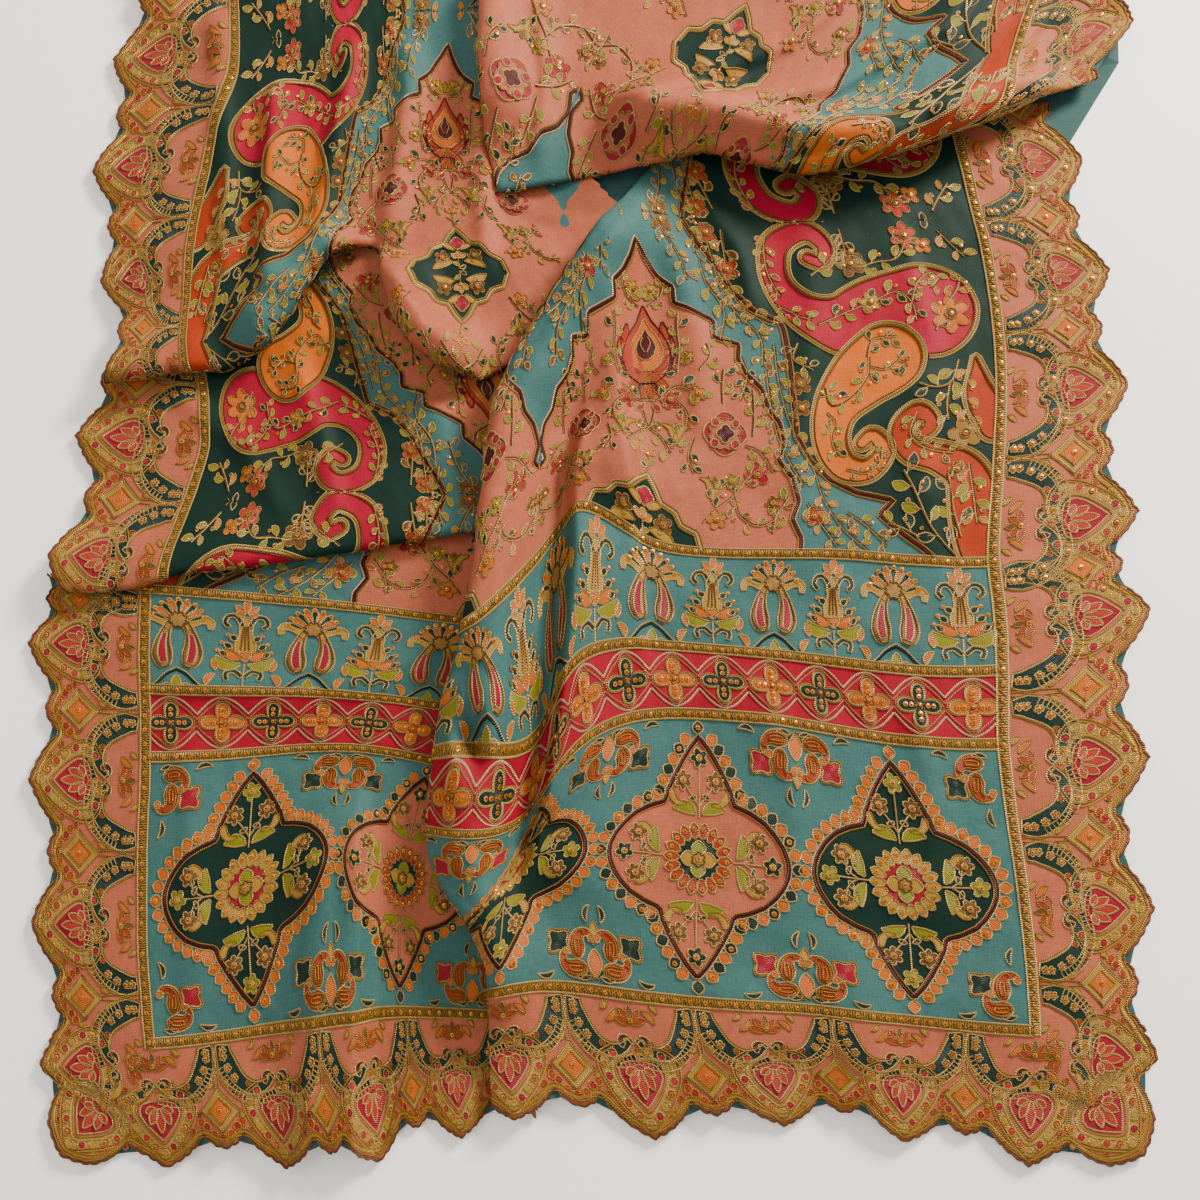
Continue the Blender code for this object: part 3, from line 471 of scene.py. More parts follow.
def net_faces(rows, columns, closed=False):
    """Triangles of a grid of points, row by row: each cell is cut in two. Closed joins the last row
    to the first."""
    down = np.arange(rows if closed else rows - 1)[:, None]
    right = np.arange(columns - 1)
    a = (down * columns + right).ravel()
    b = (((down + 1) % rows) * columns + right).ravel()
    return np.concatenate([np.stack([a, a + 1, b], 1), np.stack([a + 1, b + 1, b], 1)])


def smooth_line(points, count):
    """Count points on a Catmull-Rom curve through the given ones, evenly spaced in length."""
    points = np.asarray(points, float)
    ends = np.concatenate([[2 * points[0] - points[1]], points, [2 * points[-1] - points[-2]]])
    share = np.linspace(0, 1, 9)[:-1, None, None]
    p0, p1, p2, p3 = ends[:-3], ends[1:-2], ends[2:-1], ends[3:]
    curve = 0.5 * (2 * p1 + (p2 - p0) * share + (2 * p0 - 5 * p1 + 4 * p2 - p3) * share**2
                   + (3 * p1 - p0 - 3 * p2 + p3) * share**3)
    curve = np.concatenate([curve.transpose(1, 0, 2).reshape(-1, 2), points[-1:]])
    along = np.concatenate([[0], np.cumsum(np.linalg.norm(np.diff(curve, axis=0), axis=1))])
    marks = np.linspace(0, along[-1], count)
    return np.stack([np.interp(marks, along, curve[:, axis]) for axis in (0, 1)], -1)


def curl(start, heading, length, turn, power, count):
    """A path whose heading turns by turn degrees in all, by the share of its length to a power."""
    share = np.linspace(0, 1, count)
    angle = np.radians(heading + turn * share**power)
    step = length / (count - 1)
    path = unit(angle) * step
    return np.asarray(start, float) + np.concatenate([[[0, 0]], np.cumsum(path[:-1], axis=0)])


def sideways(path, closed=False):
    """Unit vectors to the left of a path: its run between the points before and after, turned."""
    run = np.roll(path, -1, 0) - np.roll(path, 1, 0) if closed else np.gradient(path, axis=0)
    run /= np.maximum(np.linalg.norm(run, axis=1, keepdims=True), 1e-9)
    return np.stack([-run[:, 1], run[:, 0]], -1)


def strip(kind, path, half, dye, lift, crown, sides=2, closed=False):
    """Grid over a path: across it at shares -1 to 1 of its half width, raised by crown(1 - share squared)."""
    path = np.asarray(path, float)
    half = np.broadcast_to(np.asarray(half, float), len(path))
    shares = np.linspace(-1, 1, sides + 1)
    left = sideways(path, closed)
    points = path[:, None] + left[:, None] * (half[:, None] * -shares)[..., None]
    rise = lift + crown * (1 - shares**2) * (half / max(half.max(), 1e-6))[:, None]
    run = np.concatenate([[0], np.cumsum(np.linalg.norm(np.diff(path, axis=0), axis=1))])
    stitch = np.stack(np.broadcast_arrays(run[:, None], half[:, None] * shares), -1)
    return (kind, points.reshape(-1, 2), rise.ravel(), net_faces(len(path), sides + 1, closed),
            np.broadcast_to(DYES[dye], (points.shape[0] * points.shape[1], 3)), stitch.reshape(-1, 2))


THREAD_HALF = 0.62
THREAD_RISE = 0.75
FIRST_LIFT = 0.25


def thread(path, dye="gold", half=THREAD_HALF, closed=False, lift=FIRST_LIFT):
    """A couched thread: a low rounded ridge along a path."""
    return strip("thread", path, half, dye, lift, THREAD_RISE, 2, closed)


def rim_of(path, half):
    """The closed edge of a strip: up its left side and back down its right."""
    left = sideways(path)
    half = np.asarray(half, float)[:, None]
    return np.concatenate([path + left * half, (path - left * half)[::-1]])


def blade(path, half, dye, edge="gold", lift=FIRST_LIFT, crown=0.5, sides=2):
    """A filled strip with a thread round its edge; edge None leaves the thread out."""
    parts = [strip("shape", path, half, dye, lift, crown, sides)]
    if edge:
        parts.append(thread(rim_of(path, np.maximum(half, 0.15)), edge, closed=True, lift=lift))
    return parts


def leaf(base, tip, half, dye, edge="gold", bend=0.12, count=6, lift=FIRST_LIFT):
    """A pointed leaf: spine bent sideways by a share of its length, half width as the root of a sine."""
    base, tip = np.asarray(base, float), np.asarray(tip, float)
    share = np.linspace(0.02, 0.98, count)
    run = tip - base
    bow = np.array([-run[1], run[0]]) * (bend * np.sin(math.pi * share))[:, None]
    path = base + run * share[:, None] + bow
    return blade(path, half * np.sin(math.pi * share) ** 0.8, dye, edge, lift)


def disc(centre, radius, dye, lift=FIRST_LIFT, crown=0.4, count=12, edge=None):
    """Polar grid: radius may be a number or one for each angle; raised by crown(1 - share squared)."""
    angle = ring_angles(count)
    reach = np.broadcast_to(radius, count)
    shares = np.array([0.02, 0.55, 1.0])
    turned = unit(angle)
    points = np.asarray(centre, float) + turned[:, None] * (reach[:, None] * shares)[..., None]
    rise = np.broadcast_to(lift + crown * (1 - shares**2), (count, 3))
    stitch = np.stack(np.broadcast_arrays(reach[:, None] * shares, angle[:, None] * 2), -1)
    parts = [("shape", points.reshape(-1, 2), rise.ravel(), net_faces(count, 3, True)[:, ::-1],
              np.broadcast_to(DYES[dye], (count * 3, 3)), stitch.reshape(-1, 2))]
    if edge:
        parts.append(thread(np.asarray(centre) + turned * reach[:, None], edge, closed=True, lift=lift))
    return parts


def lobed(radius, lobes, depth, count, start=0.0):
    """Radius for each angle of a flower: full at the lobes, less by the depth's share between them."""
    angle = ring_angles(count)
    return radius * (1 - depth + depth * np.abs(np.sin(lobes * (angle - start) / 2)))


def sequin(centre, radius, lift):
    """A flat ring: two circles of eight points."""
    angle = ring_angles(8)
    turned = unit(angle)
    points = np.asarray(centre, float) + turned[:, None] * np.array([radius, radius * 0.35])[:, None]
    rise = np.broadcast_to([lift, lift + 0.25], (8, 2))
    return [("sequin", points.reshape(-1, 2), rise.ravel(), net_faces(8, 2, True),
             np.broadcast_to(DYES["amber"], (16, 3)), np.zeros((16, 2)))]


def flower(centre, radius, petals, dye, edge="gold"):
    """A round flower: lobed disc, thread round it, a thread ring and a sequin."""
    count = petals * 6
    reach = lobed(radius, petals, 0.42, count)
    parts = disc(centre, reach, dye, count=count, edge=edge, crown=0.7)
    parts += disc(centre, radius * 0.3, "bronze", lift=1.0, count=8, edge=edge)
    return parts + sequin(centre, min(radius * 0.3, 1.7), 1.9)


def stacked(rows):
    """Rows of arrays put end to end. The third array of a row is its faces: their numbers go up by the
    count of points before them."""
    starts = np.cumsum([0] + [len(row[0]) for row in rows[:-1]])
    rows = [(*row[:2], row[2] + start, *row[3:]) for row, start in zip(rows, starts)]
    return [np.concatenate(values) for values in zip(*rows)]


def joined(parts):
    """Parts of one kind put together, so that a motif is a few arrays."""
    by_kind = {kind: [part[1:] for part in parts if part[0] == kind] for kind in SEWN}
    return [(kind, *stacked(rows)) for kind, rows in by_kind.items() if rows]


def moved(parts, spot, degrees=0.0, flip=1):
    """Parts flipped, turned and moved to a spot."""
    turn = math.radians(degrees)
    spin = np.array([[math.cos(turn), math.sin(turn)], [-math.sin(turn), math.cos(turn)]])
    return [(part[0], (part[1] * (flip, 1)) @ spin + spot, *part[2:]) for part in parts]


def sew(parts, places, keep=None):
    """Puts a motif on the flat cloth at each place: (u, v, degrees turned, size, -1 to mirror it).
    A point is mirrored, scaled, turned and moved."""
    places = np.atleast_2d(np.asarray(places, float))
    turn = np.radians(places[:, 2])
    for kind, points, rise, faces, dye, stitch in joined(parts):
        x = points[:, 0] * (places[:, 3] * places[:, 4])[:, None]
        y = points[:, 1] * places[:, 3][:, None]
        u = x * np.cos(turn)[:, None] - y * np.sin(turn)[:, None] + places[:, :1]
        v = x * np.sin(turn)[:, None] + y * np.cos(turn)[:, None] + places[:, 1:2]
        cloth = np.stack([u, v], -1).reshape(-1, 2)
        copies = len(places)
        all_faces = (faces + (np.arange(copies) * len(points))[:, None, None]).reshape(-1, 3)
        if keep is not None:
            all_faces = all_faces[keep(cloth)[all_faces].all(1)]
        SEWN[kind].append((cloth, np.tile(rise, copies), all_faces, np.tile(dye, (copies, 1)),
                           np.tile(stitch, (copies, 1))))


# The border's repeat: X along the gold band, Y out from it

# The heart's drop: half width and Y. Its cords: growth of the outline below, dye, half width
DROP = [(5, 40), (11, 41.5), (14, 44.5), (14.5, 49), (12, 54), (8, 59), (4, 63.5), (0.4, 67)]
HEART_CORDS = [(1.05, "gold", 0.8), (1.19, "straw", 0.6), (1.62, "gold", 0.7), (1.75, "mustard", 0.6)]
HEART = [(0, 40.5), (9, 39.5), (15, 43), (16, 49), (12, 57), (6, 64), (0, 69)]


def ring_round(points, grow, middle=(0, 51)):
    """The right half of an outline and its mirror, grown about a middle: open at the base."""
    half = np.array(points, float)
    half = (half - middle) * grow + middle
    return smooth_line(np.concatenate([half[1:], half[:-1][::-1] * (-1, 1)]), 30)


def heart_parts():
    """The heart of a big scallop: crimson drop with coral petals, cords round it and a ring of buds."""
    rows = np.array(DROP)
    parts = blade(rows * (0, 1), rows[:, 0], "crimson", "straw", sides=4)
    for x, y, half in ((0, 62, 3.2), (-7.5, 56, 3), (7.5, 56, 3), (-10, 47.5, 2.6), (10, 47.5, 2.6)):
        parts += leaf((x * 0.25, 44.5), (x, y), half, "coral", "straw", 0, 7, 0.8)
    for grow, dye, half in HEART_CORDS:
        parts.append(thread(ring_round(HEART, grow), dye, half))
    parts.append(strip("shape", ring_round(HEART, 1.13), 1.2, "mustard", 0.15, 0.5))
    parts.append(strip("shape", ring_round(HEART, 1.42), 3.1, "mustard", 0.1, 0.2))
    bud_ring = ring_round(HEART, 1.42)[1:-1:2]
    for number, spot in enumerate(bud_ring):
        parts += disc(spot, 3.0, ("coral", "mustard", "crimson", "mustard", "rust")[number % 5], count=8,
                      edge="straw")
        if number % 4 == 1:
            parts += sequin(spot, 1.7, 1.0)
    for number, spot in enumerate(ring_round(HEART, 1.92)[1:-1:2]):
        if spot[1] > 78:
            continue
        parts += disc(spot, 2.1, ("rust", "crimson", "mustard")[number % 3], count=7, edge="gold")
    return parts


WING = [(1.5, 27), (8, 32.5), (17, 35), (27, 32), (35, 24), (39.5, 14), (39, 5.5)]
WING_HALF = [1.5, 3.0, 4.2, 5.6, 7.2, 7.6, 4.6]
LADDER = [(1, 38.5), (9, 41.0), (19, 41.8), (29, 38.5), (38, 30), (43, 21)]


def wing_parts(spine_points, halves):
    """A dark green wing, narrow at the scallop's middle, with gold flowers in its head."""
    spine = smooth_line(spine_points, 16)
    half = tapered(16, np.linspace(0, 1, len(halves)), halves)
    parts = blade(spine, half, "green", "straw", sides=2)
    parts.append(thread(rim_of(spine, half + 1.3), "gold", 0.5, True, 0.1))
    for share in (9, 11, 13, 14):
        spot = spine[share]
        parts += disc(spot, lobed(2.9, 5, 0.4, 15), "bronze", 0.7, 0.5, 15, "straw")
        parts += sequin(spot, 1.5, 1.7)
    return parts


def ladder_parts(points):
    """A rope ladder: a black strip between two cords with cream rungs across it."""
    spine = smooth_line(points, 18)
    left = sideways(spine)
    parts = [strip("shape", spine, 2.9, "black green", 0.25, 0.1)]
    for side in (-3.1, 3.1):
        parts.append(thread(spine + left * side, "straw", 0.6))
    for spot, out in zip(spine, left):
        parts.append(thread([spot - out * 2.6, spot, spot + out * 2.6], "straw", 0.45, False, 0.35))
    return parts


def centre_parts():
    """The middle of a big scallop: maroon double curl, a gold flower and orange flames."""
    parts = []
    for side in (-1, 1):
        path = curl((side * 1.0, 30), 90 + side * -28, 15, side * -250, 1.6, 12)
        path[:, 1] = 60 - path[:, 1]
        half = tapered(12, [0, 0.5, 0.85, 1], [0.9, 1.2, 2.9, 2.0])
        parts += blade(path, half, "maroon", "straw")
        parts += leaf((side * 9, 9), (side * 17, 17), 2.2, "orange", "gold")
        parts += leaf((side * 15, 5), (side * 20, 10), 1.8, "mustard", "gold")
    for degrees in (-75, -38, 0, 38, 75):
        angle = math.radians(degrees)
        tip = (11.5 * math.sin(angle), 17.5 - 11.5 * math.cos(angle))
        parts += leaf((0, 17.5), tip, 2.3, "rust" if degrees else "bronze", "gold", 0, 6)
    return parts + sequin((0, 15.5), 1.8, 1.4)


def small_scallop_parts():
    """A small scallop: mustard diamond with an orange heart, red buds, and the line up to the band."""
    angle = ring_angles(24)
    star = 1 / (np.abs(np.cos(angle)) ** 0.8 + np.abs(np.sin(angle)) ** 0.8)
    parts = disc((0, 47.5), 14 * star, "mustard", count=24, edge="straw")
    parts.append(thread((0, 47.5) + unit(angle) * (15.6 * star)[:, None], "gold", 0.6, True))
    parts += disc((0, 47.5), 9 * star, "orange", 0.7, 0.4, 24, "gold")
    parts += sequin((0, 47.5), 1.7, 1.6)
    for x, y, dye in ((-15.5, 55, "rust"), (-11.5, 58, "crimson"), (-6.5, 63, "coral"), (0, 65.5, "crimson"),
                      (6.5, 63, "coral"), (11.5, 58, "crimson"), (15.5, 55, "rust")):
        parts += disc((x, y), 2.9, dye, count=8, edge="mustard")
    for x in (-1.2, 1.2):
        parts.append(thread(smooth_line([(x, 5), (x * 1.6, 20), (x, 34)], 10), "gold"))
    for x in (-4.2, 4.2):
        parts.append(thread(smooth_line([(x * 2.2, 36), (x * 1.2, 28), (x * 0.4, 20)], 8), "mustard"))
    for x in (-1, 1):
        parts += leaf((x * 3, 27), (x * 8, 33), 1.7, "mustard", "gold")
    return parts


def border_places(size):
    """Where the border's big or small repeats go: both sides, then the hem."""
    tips = list(END_SCALLOPS) + [FIRST_FIELD_SCALLOP + SIDE_PITCH * k for k in range(10)]
    middles = [(a + b) / 2 for a, b in zip(tips, tips[1:])]
    hem = [-FIELD_HALF_WIDTH + HEM_PITCH * k for k in range(9)]
    hem_middles = [(a + b) / 2 for a, b in zip(hem, hem[1:])]
    side_rows, hem_rows = (tips, hem) if size == "big" else (middles, hem_middles)
    rows = [(FIELD_HALF_WIDTH, v, -90, 1, 1) for v in side_rows]
    rows += [(-FIELD_HALF_WIDTH, v, 90, 1, 1) for v in side_rows]
    return rows + [(u, HEM_SEAM, 180, 1, 1) for u in hem_rows]


CORNER_WING = [(1.5, 27), (7, 32), (14, 35.5), (22, 38), (29, 41)]
CORNER_WING_HALF = [1.2, 3, 4.2, 2.6, 1.0]
CORNER_LADDER = [(4, 36), (11, 33), (17, 34), (22, 38)]
CORNER_HEART_SHIFT = 20 / math.sqrt(2)


def sew_border():
    """All of the border's repeats, with short wings towards the corners, and each corner's own heart."""
    big = border_places("big")
    sew(heart_parts() + centre_parts(), big)
    sew(small_scallop_parts(), border_places("small"))
    wing = wing_parts(WING, WING_HALF) + ladder_parts(LADDER)
    corner_wing = wing_parts(CORNER_WING, CORNER_WING_HALF)
    for u, v, turn, size, _ in big:
        next_to_corner = abs(u) == FIELD_HALF_WIDTH and v in (END_SCALLOPS[0], HEM_SEAM)
        for side in (-1, 1):
            towards = side * u < 0 if v == HEM_SEAM else side * u > 0
            sew(corner_wing if next_to_corner and towards else wing, [(u, v, turn, size, side)])
    for way in (1, -1):
        u, v = way * (FIELD_HALF_WIDTH + CORNER_HEART_SHIFT), HEM_SEAM - CORNER_HEART_SHIFT
        place = (u, v, 180 + 45 * way, 1)
        sew(heart_parts(), [(*place, 1)])
        for side in (-1, 1):
            sew(ladder_parts(CORNER_LADDER), [(*place, side)])
        sew(leaf((0, 14), (0, 34), 3.2, "mustard"), [(*place, 1)])


# The cut edge: steps along it and round a corner, and the small lobes that its whole line has
EDGE_STEP = 2.05
CORNER_STEP_DEGREES = 1.1
LOBE_RISE = 1.5
LOBE_PITCH = 8.0
# Reach at shares of a repeat, from a big tip over the notch to a small tip
PROFILE_SHARES = [0, 0.04, 0.08, 0.12, 0.16, 0.2, 0.24, 0.28, 0.31, 0.33, 0.35, 0.38, 0.42, 0.46, 0.5]
PROFILE_REACH = [BIG_TIP, 84, 82.5, 80.6, 78.5, 76, 73, 69.5, 66, 62, 65, 68, 70.5, 71.8, SMALL_TIP]
# Reach at degrees round a corner, from the side to the hem
CORNER_DEGREES = [0, 5, 10.5, 16, 22, 27, 33, 39, 45, 51, 57, 63, 68, 74, 80, 85, 90]
CORNER_REACH = [76, 82, 87, 82, CORNER_NOTCH, 88, 99, 104, CORNER_TIP, 104, 99, 88, CORNER_NOTCH, 77, 79,
                82.5, BIG_TIP]


def scallop_profile(share):
    """Reach of the cut edge over half a repeat: pointed big scallop, notch, small scallop."""
    return np.interp(share, PROFILE_SHARES, PROFILE_REACH)


def edge_stations(top):
    """Stations round the cloth: points on the gold band's line, the way out, and the cut edge's reach.
    On a side the reach depends on the distance to the nearest big tip, at a corner on the angle."""
    down = np.arange(top, HEM_SEAM, -EDGE_STEP)
    tips = np.array(list(END_SCALLOPS) + [FIRST_FIELD_SCALLOP + SIDE_PITCH * k for k in range(14)])
    near = np.searchsorted(tips, down).clip(1, len(tips) - 1)
    pitch = tips[near] - tips[near - 1]
    share = np.abs((down - tips[near - 1]) / pitch)
    side_reach = scallop_profile(np.minimum(share, 1 - share))
    right = np.stack([np.full(len(down), FIELD_HALF_WIDTH), down], -1)
    degrees = np.arange(0, 90, CORNER_STEP_DEGREES)
    corner_reach = np.interp(degrees, CORNER_DEGREES, CORNER_REACH)
    angle = np.radians(degrees)
    corner = np.stack([np.full(len(angle), FIELD_HALF_WIDTH), np.full(len(angle), HEM_SEAM)], -1)
    corner_out = np.stack([np.cos(angle), -np.sin(angle)], -1)
    across_hem = np.arange(FIELD_HALF_WIDTH, 0, -EDGE_STEP)
    share = ((FIELD_HALF_WIDTH - across_hem) / HEM_PITCH) % 1
    hem_reach = scallop_profile(np.minimum(share, 1 - share))
    hem = np.stack([across_hem, np.full(len(across_hem), HEM_SEAM)], -1)
    base = np.concatenate([right, corner, hem])
    out = np.concatenate([np.tile([1.0, 0], (len(right), 1)), corner_out, np.tile([0, -1.0], (len(hem), 1))])
    reach = np.concatenate([side_reach, corner_reach, hem_reach])
    mirror = np.array([-1, 1])
    base = np.concatenate([base, base[::-1] * mirror])
    out = np.concatenate([out, out[::-1] * mirror])
    reach = np.concatenate([reach, reach[::-1]])
    rim = base + out * reach[:, None]
    run = np.concatenate([[0], np.cumsum(np.linalg.norm(np.diff(rim, axis=0), axis=1))])
    lobes = LOBE_RISE * (np.abs(np.sin(math.pi * run / LOBE_PITCH)) - 0.6)
    return base, out, reach + lobes


CLOTH_TOP = 1330.0
STATIONS = edge_stations(CLOTH_TOP)


# Cords along the cut edge: distance in from it, dye, half width, lift
EDGE_CORDS = [(0.7, "bronze", 0.9, 0.2), (2.9, "gold", 0.6, 0.2), (5.4, "mustard", 1.3, 0.15),
              (7.4, "gold", 0.55, 0.2)]


def sew_edge():
    """Cords that follow the cut edge: the outer one close, the others along its running mean."""
    base, out, reach = STATIONS
    for inset, dye, half, lift in EDGE_CORDS:
        smoothed = reach if inset < 1 else running_mean(reach, 3)
        sew([thread(base + out * (smoothed - inset)[:, None], dye, half, False, lift)], [(0, 0, 0, 1, 1)])


def braid(path):
    """A gold band: a wide low strip, two edge cords, a zigzag and sequins along the middle."""
    path = np.asarray(path, float)
    left = sideways(path)
    parts = [strip("band", path, 3.6, "band", 0.35, 0.7, 4)]
    for side in (-3.5, 3.5):
        parts.append(thread(path + left * side, "straw", 0.7, False, 0.5))
    wave = np.sin(np.arange(len(path)) * math.pi / 1.5)
    parts.append(thread(path + left * (wave * 1.9)[:, None], "gold", 0.55, False, 0.9))
    for spot in path[2:-1:5]:
        parts += sequin(spot, 1.6, 1.7)
    return parts


def sew_bands():
    """The gold bands along the seams."""
    def line(start, end):
        count = int(np.linalg.norm(np.subtract(end, start)) / 2.0) + 1
        return np.linspace(start, end, count)

    home = [(0, 0, 0, 1, 1)]
    for u in (-FIELD_HALF_WIDTH, FIELD_HALF_WIDTH):
        sew(braid(line((u, HEM_SEAM - 3), (u, CLOTH_TOP))), home)
    for v in (HEM_SEAM, STRIP_LOW_SEAM, STRIP_HIGH_SEAM, FIELD_SEAM):
        sew(braid(line((-FIELD_HALF_WIDTH, v), (FIELD_HALF_WIDTH, v))), home)


# The end panel, the cross strip and the flower band: how far their motifs are apart, and a
# quarter of a medallion's outline, from its top to its right

MEDALLION_PITCH = 143.5
CROSS_PITCH = 36.7
FLOWER_PITCH = 45.9
MEDALLION = [(0, 80), (7, 72), (13, 63), (18, 54), (22.5, 45), (25, 36.5), (36, 33), (46, 28), (53.5, 21),
             (59, 13.5), (62, 6.5), (63, 0)]


def four_ways(quarter):
    """A quarter outline, from the top to the right, with its three mirrors: a closed loop."""
    quarter = np.array(quarter, float)
    right = np.concatenate([quarter, quarter[:-1][::-1] * (1, -1)])
    return np.concatenate([right, right[1:-1][::-1] * (-1, 1)])


def evenly(loop, step):
    """A closed loop's points again, evenly spaced."""
    return resampled(np.concatenate([loop, loop[:1]]), step)[:-1]


def medallion_parts(ground):
    """A medallion: maroon line, a ring of petals, the centre flower, and four sprays."""
    outline = evenly(four_ways(MEDALLION), 3.0)
    parts = [strip("thread", outline, 1.2, "maroon", 0.25, 0.9, 2, True)]
    out = sideways(outline, True)
    parts.append(thread(outline + out * 2.0, "straw", 0.5, True))
    parts.append(thread(outline + out * -1.9, "gold", 0.5, True))
    ring = evenly(four_ways(MEDALLION), 7.6)
    ring_out = sideways(ring, True)
    for number, (spot, way) in enumerate(zip(ring, ring_out)):
        dye = "orange" if ground == "green" or number % 2 else "green"
        parts += leaf(spot + way * 1.6, spot + way * 11, 4.1, dye, "straw", 0, 7, 0.2)
        if number % 3 == 0:
            parts += sequin(spot + way * 6.5, 1.9, 1.4)
    petal_dye = "mustard" if ground == "green" else "rust"
    for degrees in np.arange(0, 360, 20):
        way = way_of(degrees)
        parts += leaf(way * 13, way * 24.5, 3.6, petal_dye, "straw", 0, 6, 0.3)
        parts += sequin(way * 20, 1.7, 1.3)
    heart_dye = "crimson" if ground == "green" else "green"
    parts += disc((0, 0), lobed(15, 18, 0.1, 36), heart_dye, 0.4, 0.4, 36, "gold")
    for degrees, dye in ((0, "mustard"), (90, "lime"), (180, "mustard"), (270, "lime")):
        way = way_of(degrees)
        parts += leaf(way * 1.5, way * 12.5, 5.0, dye, "straw", 0, 7, 0.9)
    parts += disc((0, 0), lobed(5, 6, 0.3, 18), "gold", 1.4, 0.5, 18, "bronze")
    parts += sequin((0, 0), 1.9, 2.2)
    for degrees, near, far in ((90, 29, 66), (270, 29, 66), (0, 27, 52), (180, 27, 52)):
        spread = 12 if degrees % 180 else 14.5
        spray = []
        for side in (-1, 1):
            spray += leaf((side * 2, near), (side * 19, near + 3.5), 4.2, "lime", "straw", side * 0.18)
            hook = smooth_line([(side * 9, near + 7), (side * 15, near + 7), (side * 19, near + 11),
                                (side * 20, near + 16)], 9)
            spray += blade(hook, tapered(9, [0, 0.8, 1], [0.9, 2.6, 1.6]), "mustard")
            spray += flower((side * spread, (near + far) / 2 + 3.5), 6.8, 6, "bronze", "straw")
            spray += sequin((side * spread, (near + far) / 2 + 3.5), 1.8, 2.0)
            spray.append(thread(smooth_line([(0, near + 5), (side * 5, near + 12),
                                             (side * spread, (near + far) / 2 + 2)], 8), "straw"))
            spray += leaf((side * 2, near + 12), (side * 7.5, near + 10), 1.7, "green", "straw")
        spray += flower((0, far), 6.8, 5, "lime" if ground == "green" else "green", "straw")
        spray.append(thread([(0, near - 2), (0, near + 8), (0, far - 6)], "straw"))
        parts += moved(spray, (0, 0), degrees - 90)
    return parts


def comma_parts():
    """A comma shaped drop with rings of thread inside it: a path that curls, wide at its head."""
    path = curl((0, 0), 15, 27, -205, 2.2, 16)
    half = tapered(16, [0, 0.08, 0.25, 0.45, 0.75, 1], [1.5, 4.2, 6.2, 5.2, 2.6, 2.2])
    parts = blade(path, half, "rust", "straw")
    parts.append(thread(rim_of(path[1:12], half[1:12] * 0.62), "gold", 0.5, True, 0.7))
    parts.append(thread(rim_of(path[2:8], half[2:8] * 0.25), "mustard", 0.5, True, 0.8))
    parts += disc(path[-1], 2.6, "orange", 0.5, 0.5, 8, "straw")
    return parts


def square_parts(dye):
    """A small cushion square with hollow sides, thick thread round it."""
    angle = ring_angles(24)
    reach = 7.4 * (0.78 + 0.34 * np.abs(np.cos(2 * (angle - math.pi / 4))) ** 2)
    reach = reach / np.maximum(np.abs(np.cos(angle)), np.abs(np.sin(angle))) ** 0.3
    parts = disc((0, 0), reach, dye, 0.2, 0.2, 24, "straw")
    loop = unit(angle) * (reach + 1.5)[:, None]
    parts.append(thread(loop, "gold", 0.6, True, 0.15))
    return parts


def corner_group(dye):
    """Two commas and a square in the corner between a band and the next medallion."""
    parts = []
    for part in comma_parts():
        parts += moved([part], (6, -9)) + moved([part], (11, -14), -90)
    parts += moved(square_parts(dye), (26, -24))
    parts += leaf((3, -4), (14, -3), 1.6, "green", "straw")
    parts += leaf((30, -5), (42, -3), 1.8, "green", "straw", 0.2)
    parts += leaf((5, -38), (3, -50), 1.8, "green", "straw", 0.2)
    return parts


def sew_end_panel():
    """The row of medallions with the corner groups and buds between them."""
    middle = (HEM_SEAM + STRIP_LOW_SEAM) / 2
    for k in range(-2, 3):
        sew(medallion_parts("pink" if k % 2 else "green"), [(MEDALLION_PITCH * k, middle, 0, 1, 1)])
    outermost = FIELD_HALF_WIDTH - 6
    places = {"green": [], "crimson": []}
    for k in range(-3, 3):
        u = min(max(MEDALLION_PITCH * (k + 0.5), -outermost), outermost)
        for side in (-1, 1):
            if abs(u + side * 20) <= FIELD_HALF_WIDTH:
                places["crimson" if k % 2 else "green"] += [(u, STRIP_LOW_SEAM - 5, 0, 1, side),
                                                            (u, HEM_SEAM + 5, 180, 1, -side)]
    for dye, rows in places.items():
        sew(corner_group(dye), rows)
    bud = leaf((0, -4), (0, -22), 5.2, "orange", "straw", 0)
    bud += leaf((0, -24), (0, -40), 3.2, "mustard", "gold", 0)
    bud += leaf((-1, -3), (-8, -9), 1.8, "green", "gold") + leaf((1, -3), (8, -9), 1.8, "green", "gold")
    for v, turn in ((STRIP_LOW_SEAM - 4, 0), (HEM_SEAM + 4, 180)):
        sew(bud, [(MEDALLION_PITCH * (k + 0.5), v, turn, 1, 1) for k in range(-2, 2)])


def cross_parts(dye):
    """A cross of four rounded arms with a thread round it and sequins along it."""
    angle = ring_angles(40)
    reach = np.where(np.abs(np.cos(angle)) > np.abs(np.sin(angle)), 15.5, 15.0)
    reach = reach * (0.32 + 0.68 * np.abs(np.cos(2 * angle)) ** 1.3)
    parts = disc((0, 0), reach, dye, 0.25, 0.5, 40, "straw")
    loop = unit(angle) * (reach + 1.6)[:, None]
    parts.append(thread(loop, "gold", 0.6, True))
    for degrees in (0, 90, 180, 270):
        way = way_of(degrees)
        for away in (6, 10):
            parts += sequin(way * away, 1.8, 1.3)
    return parts + flower((0, 0), 4.2, 5, "gold", "bronze")


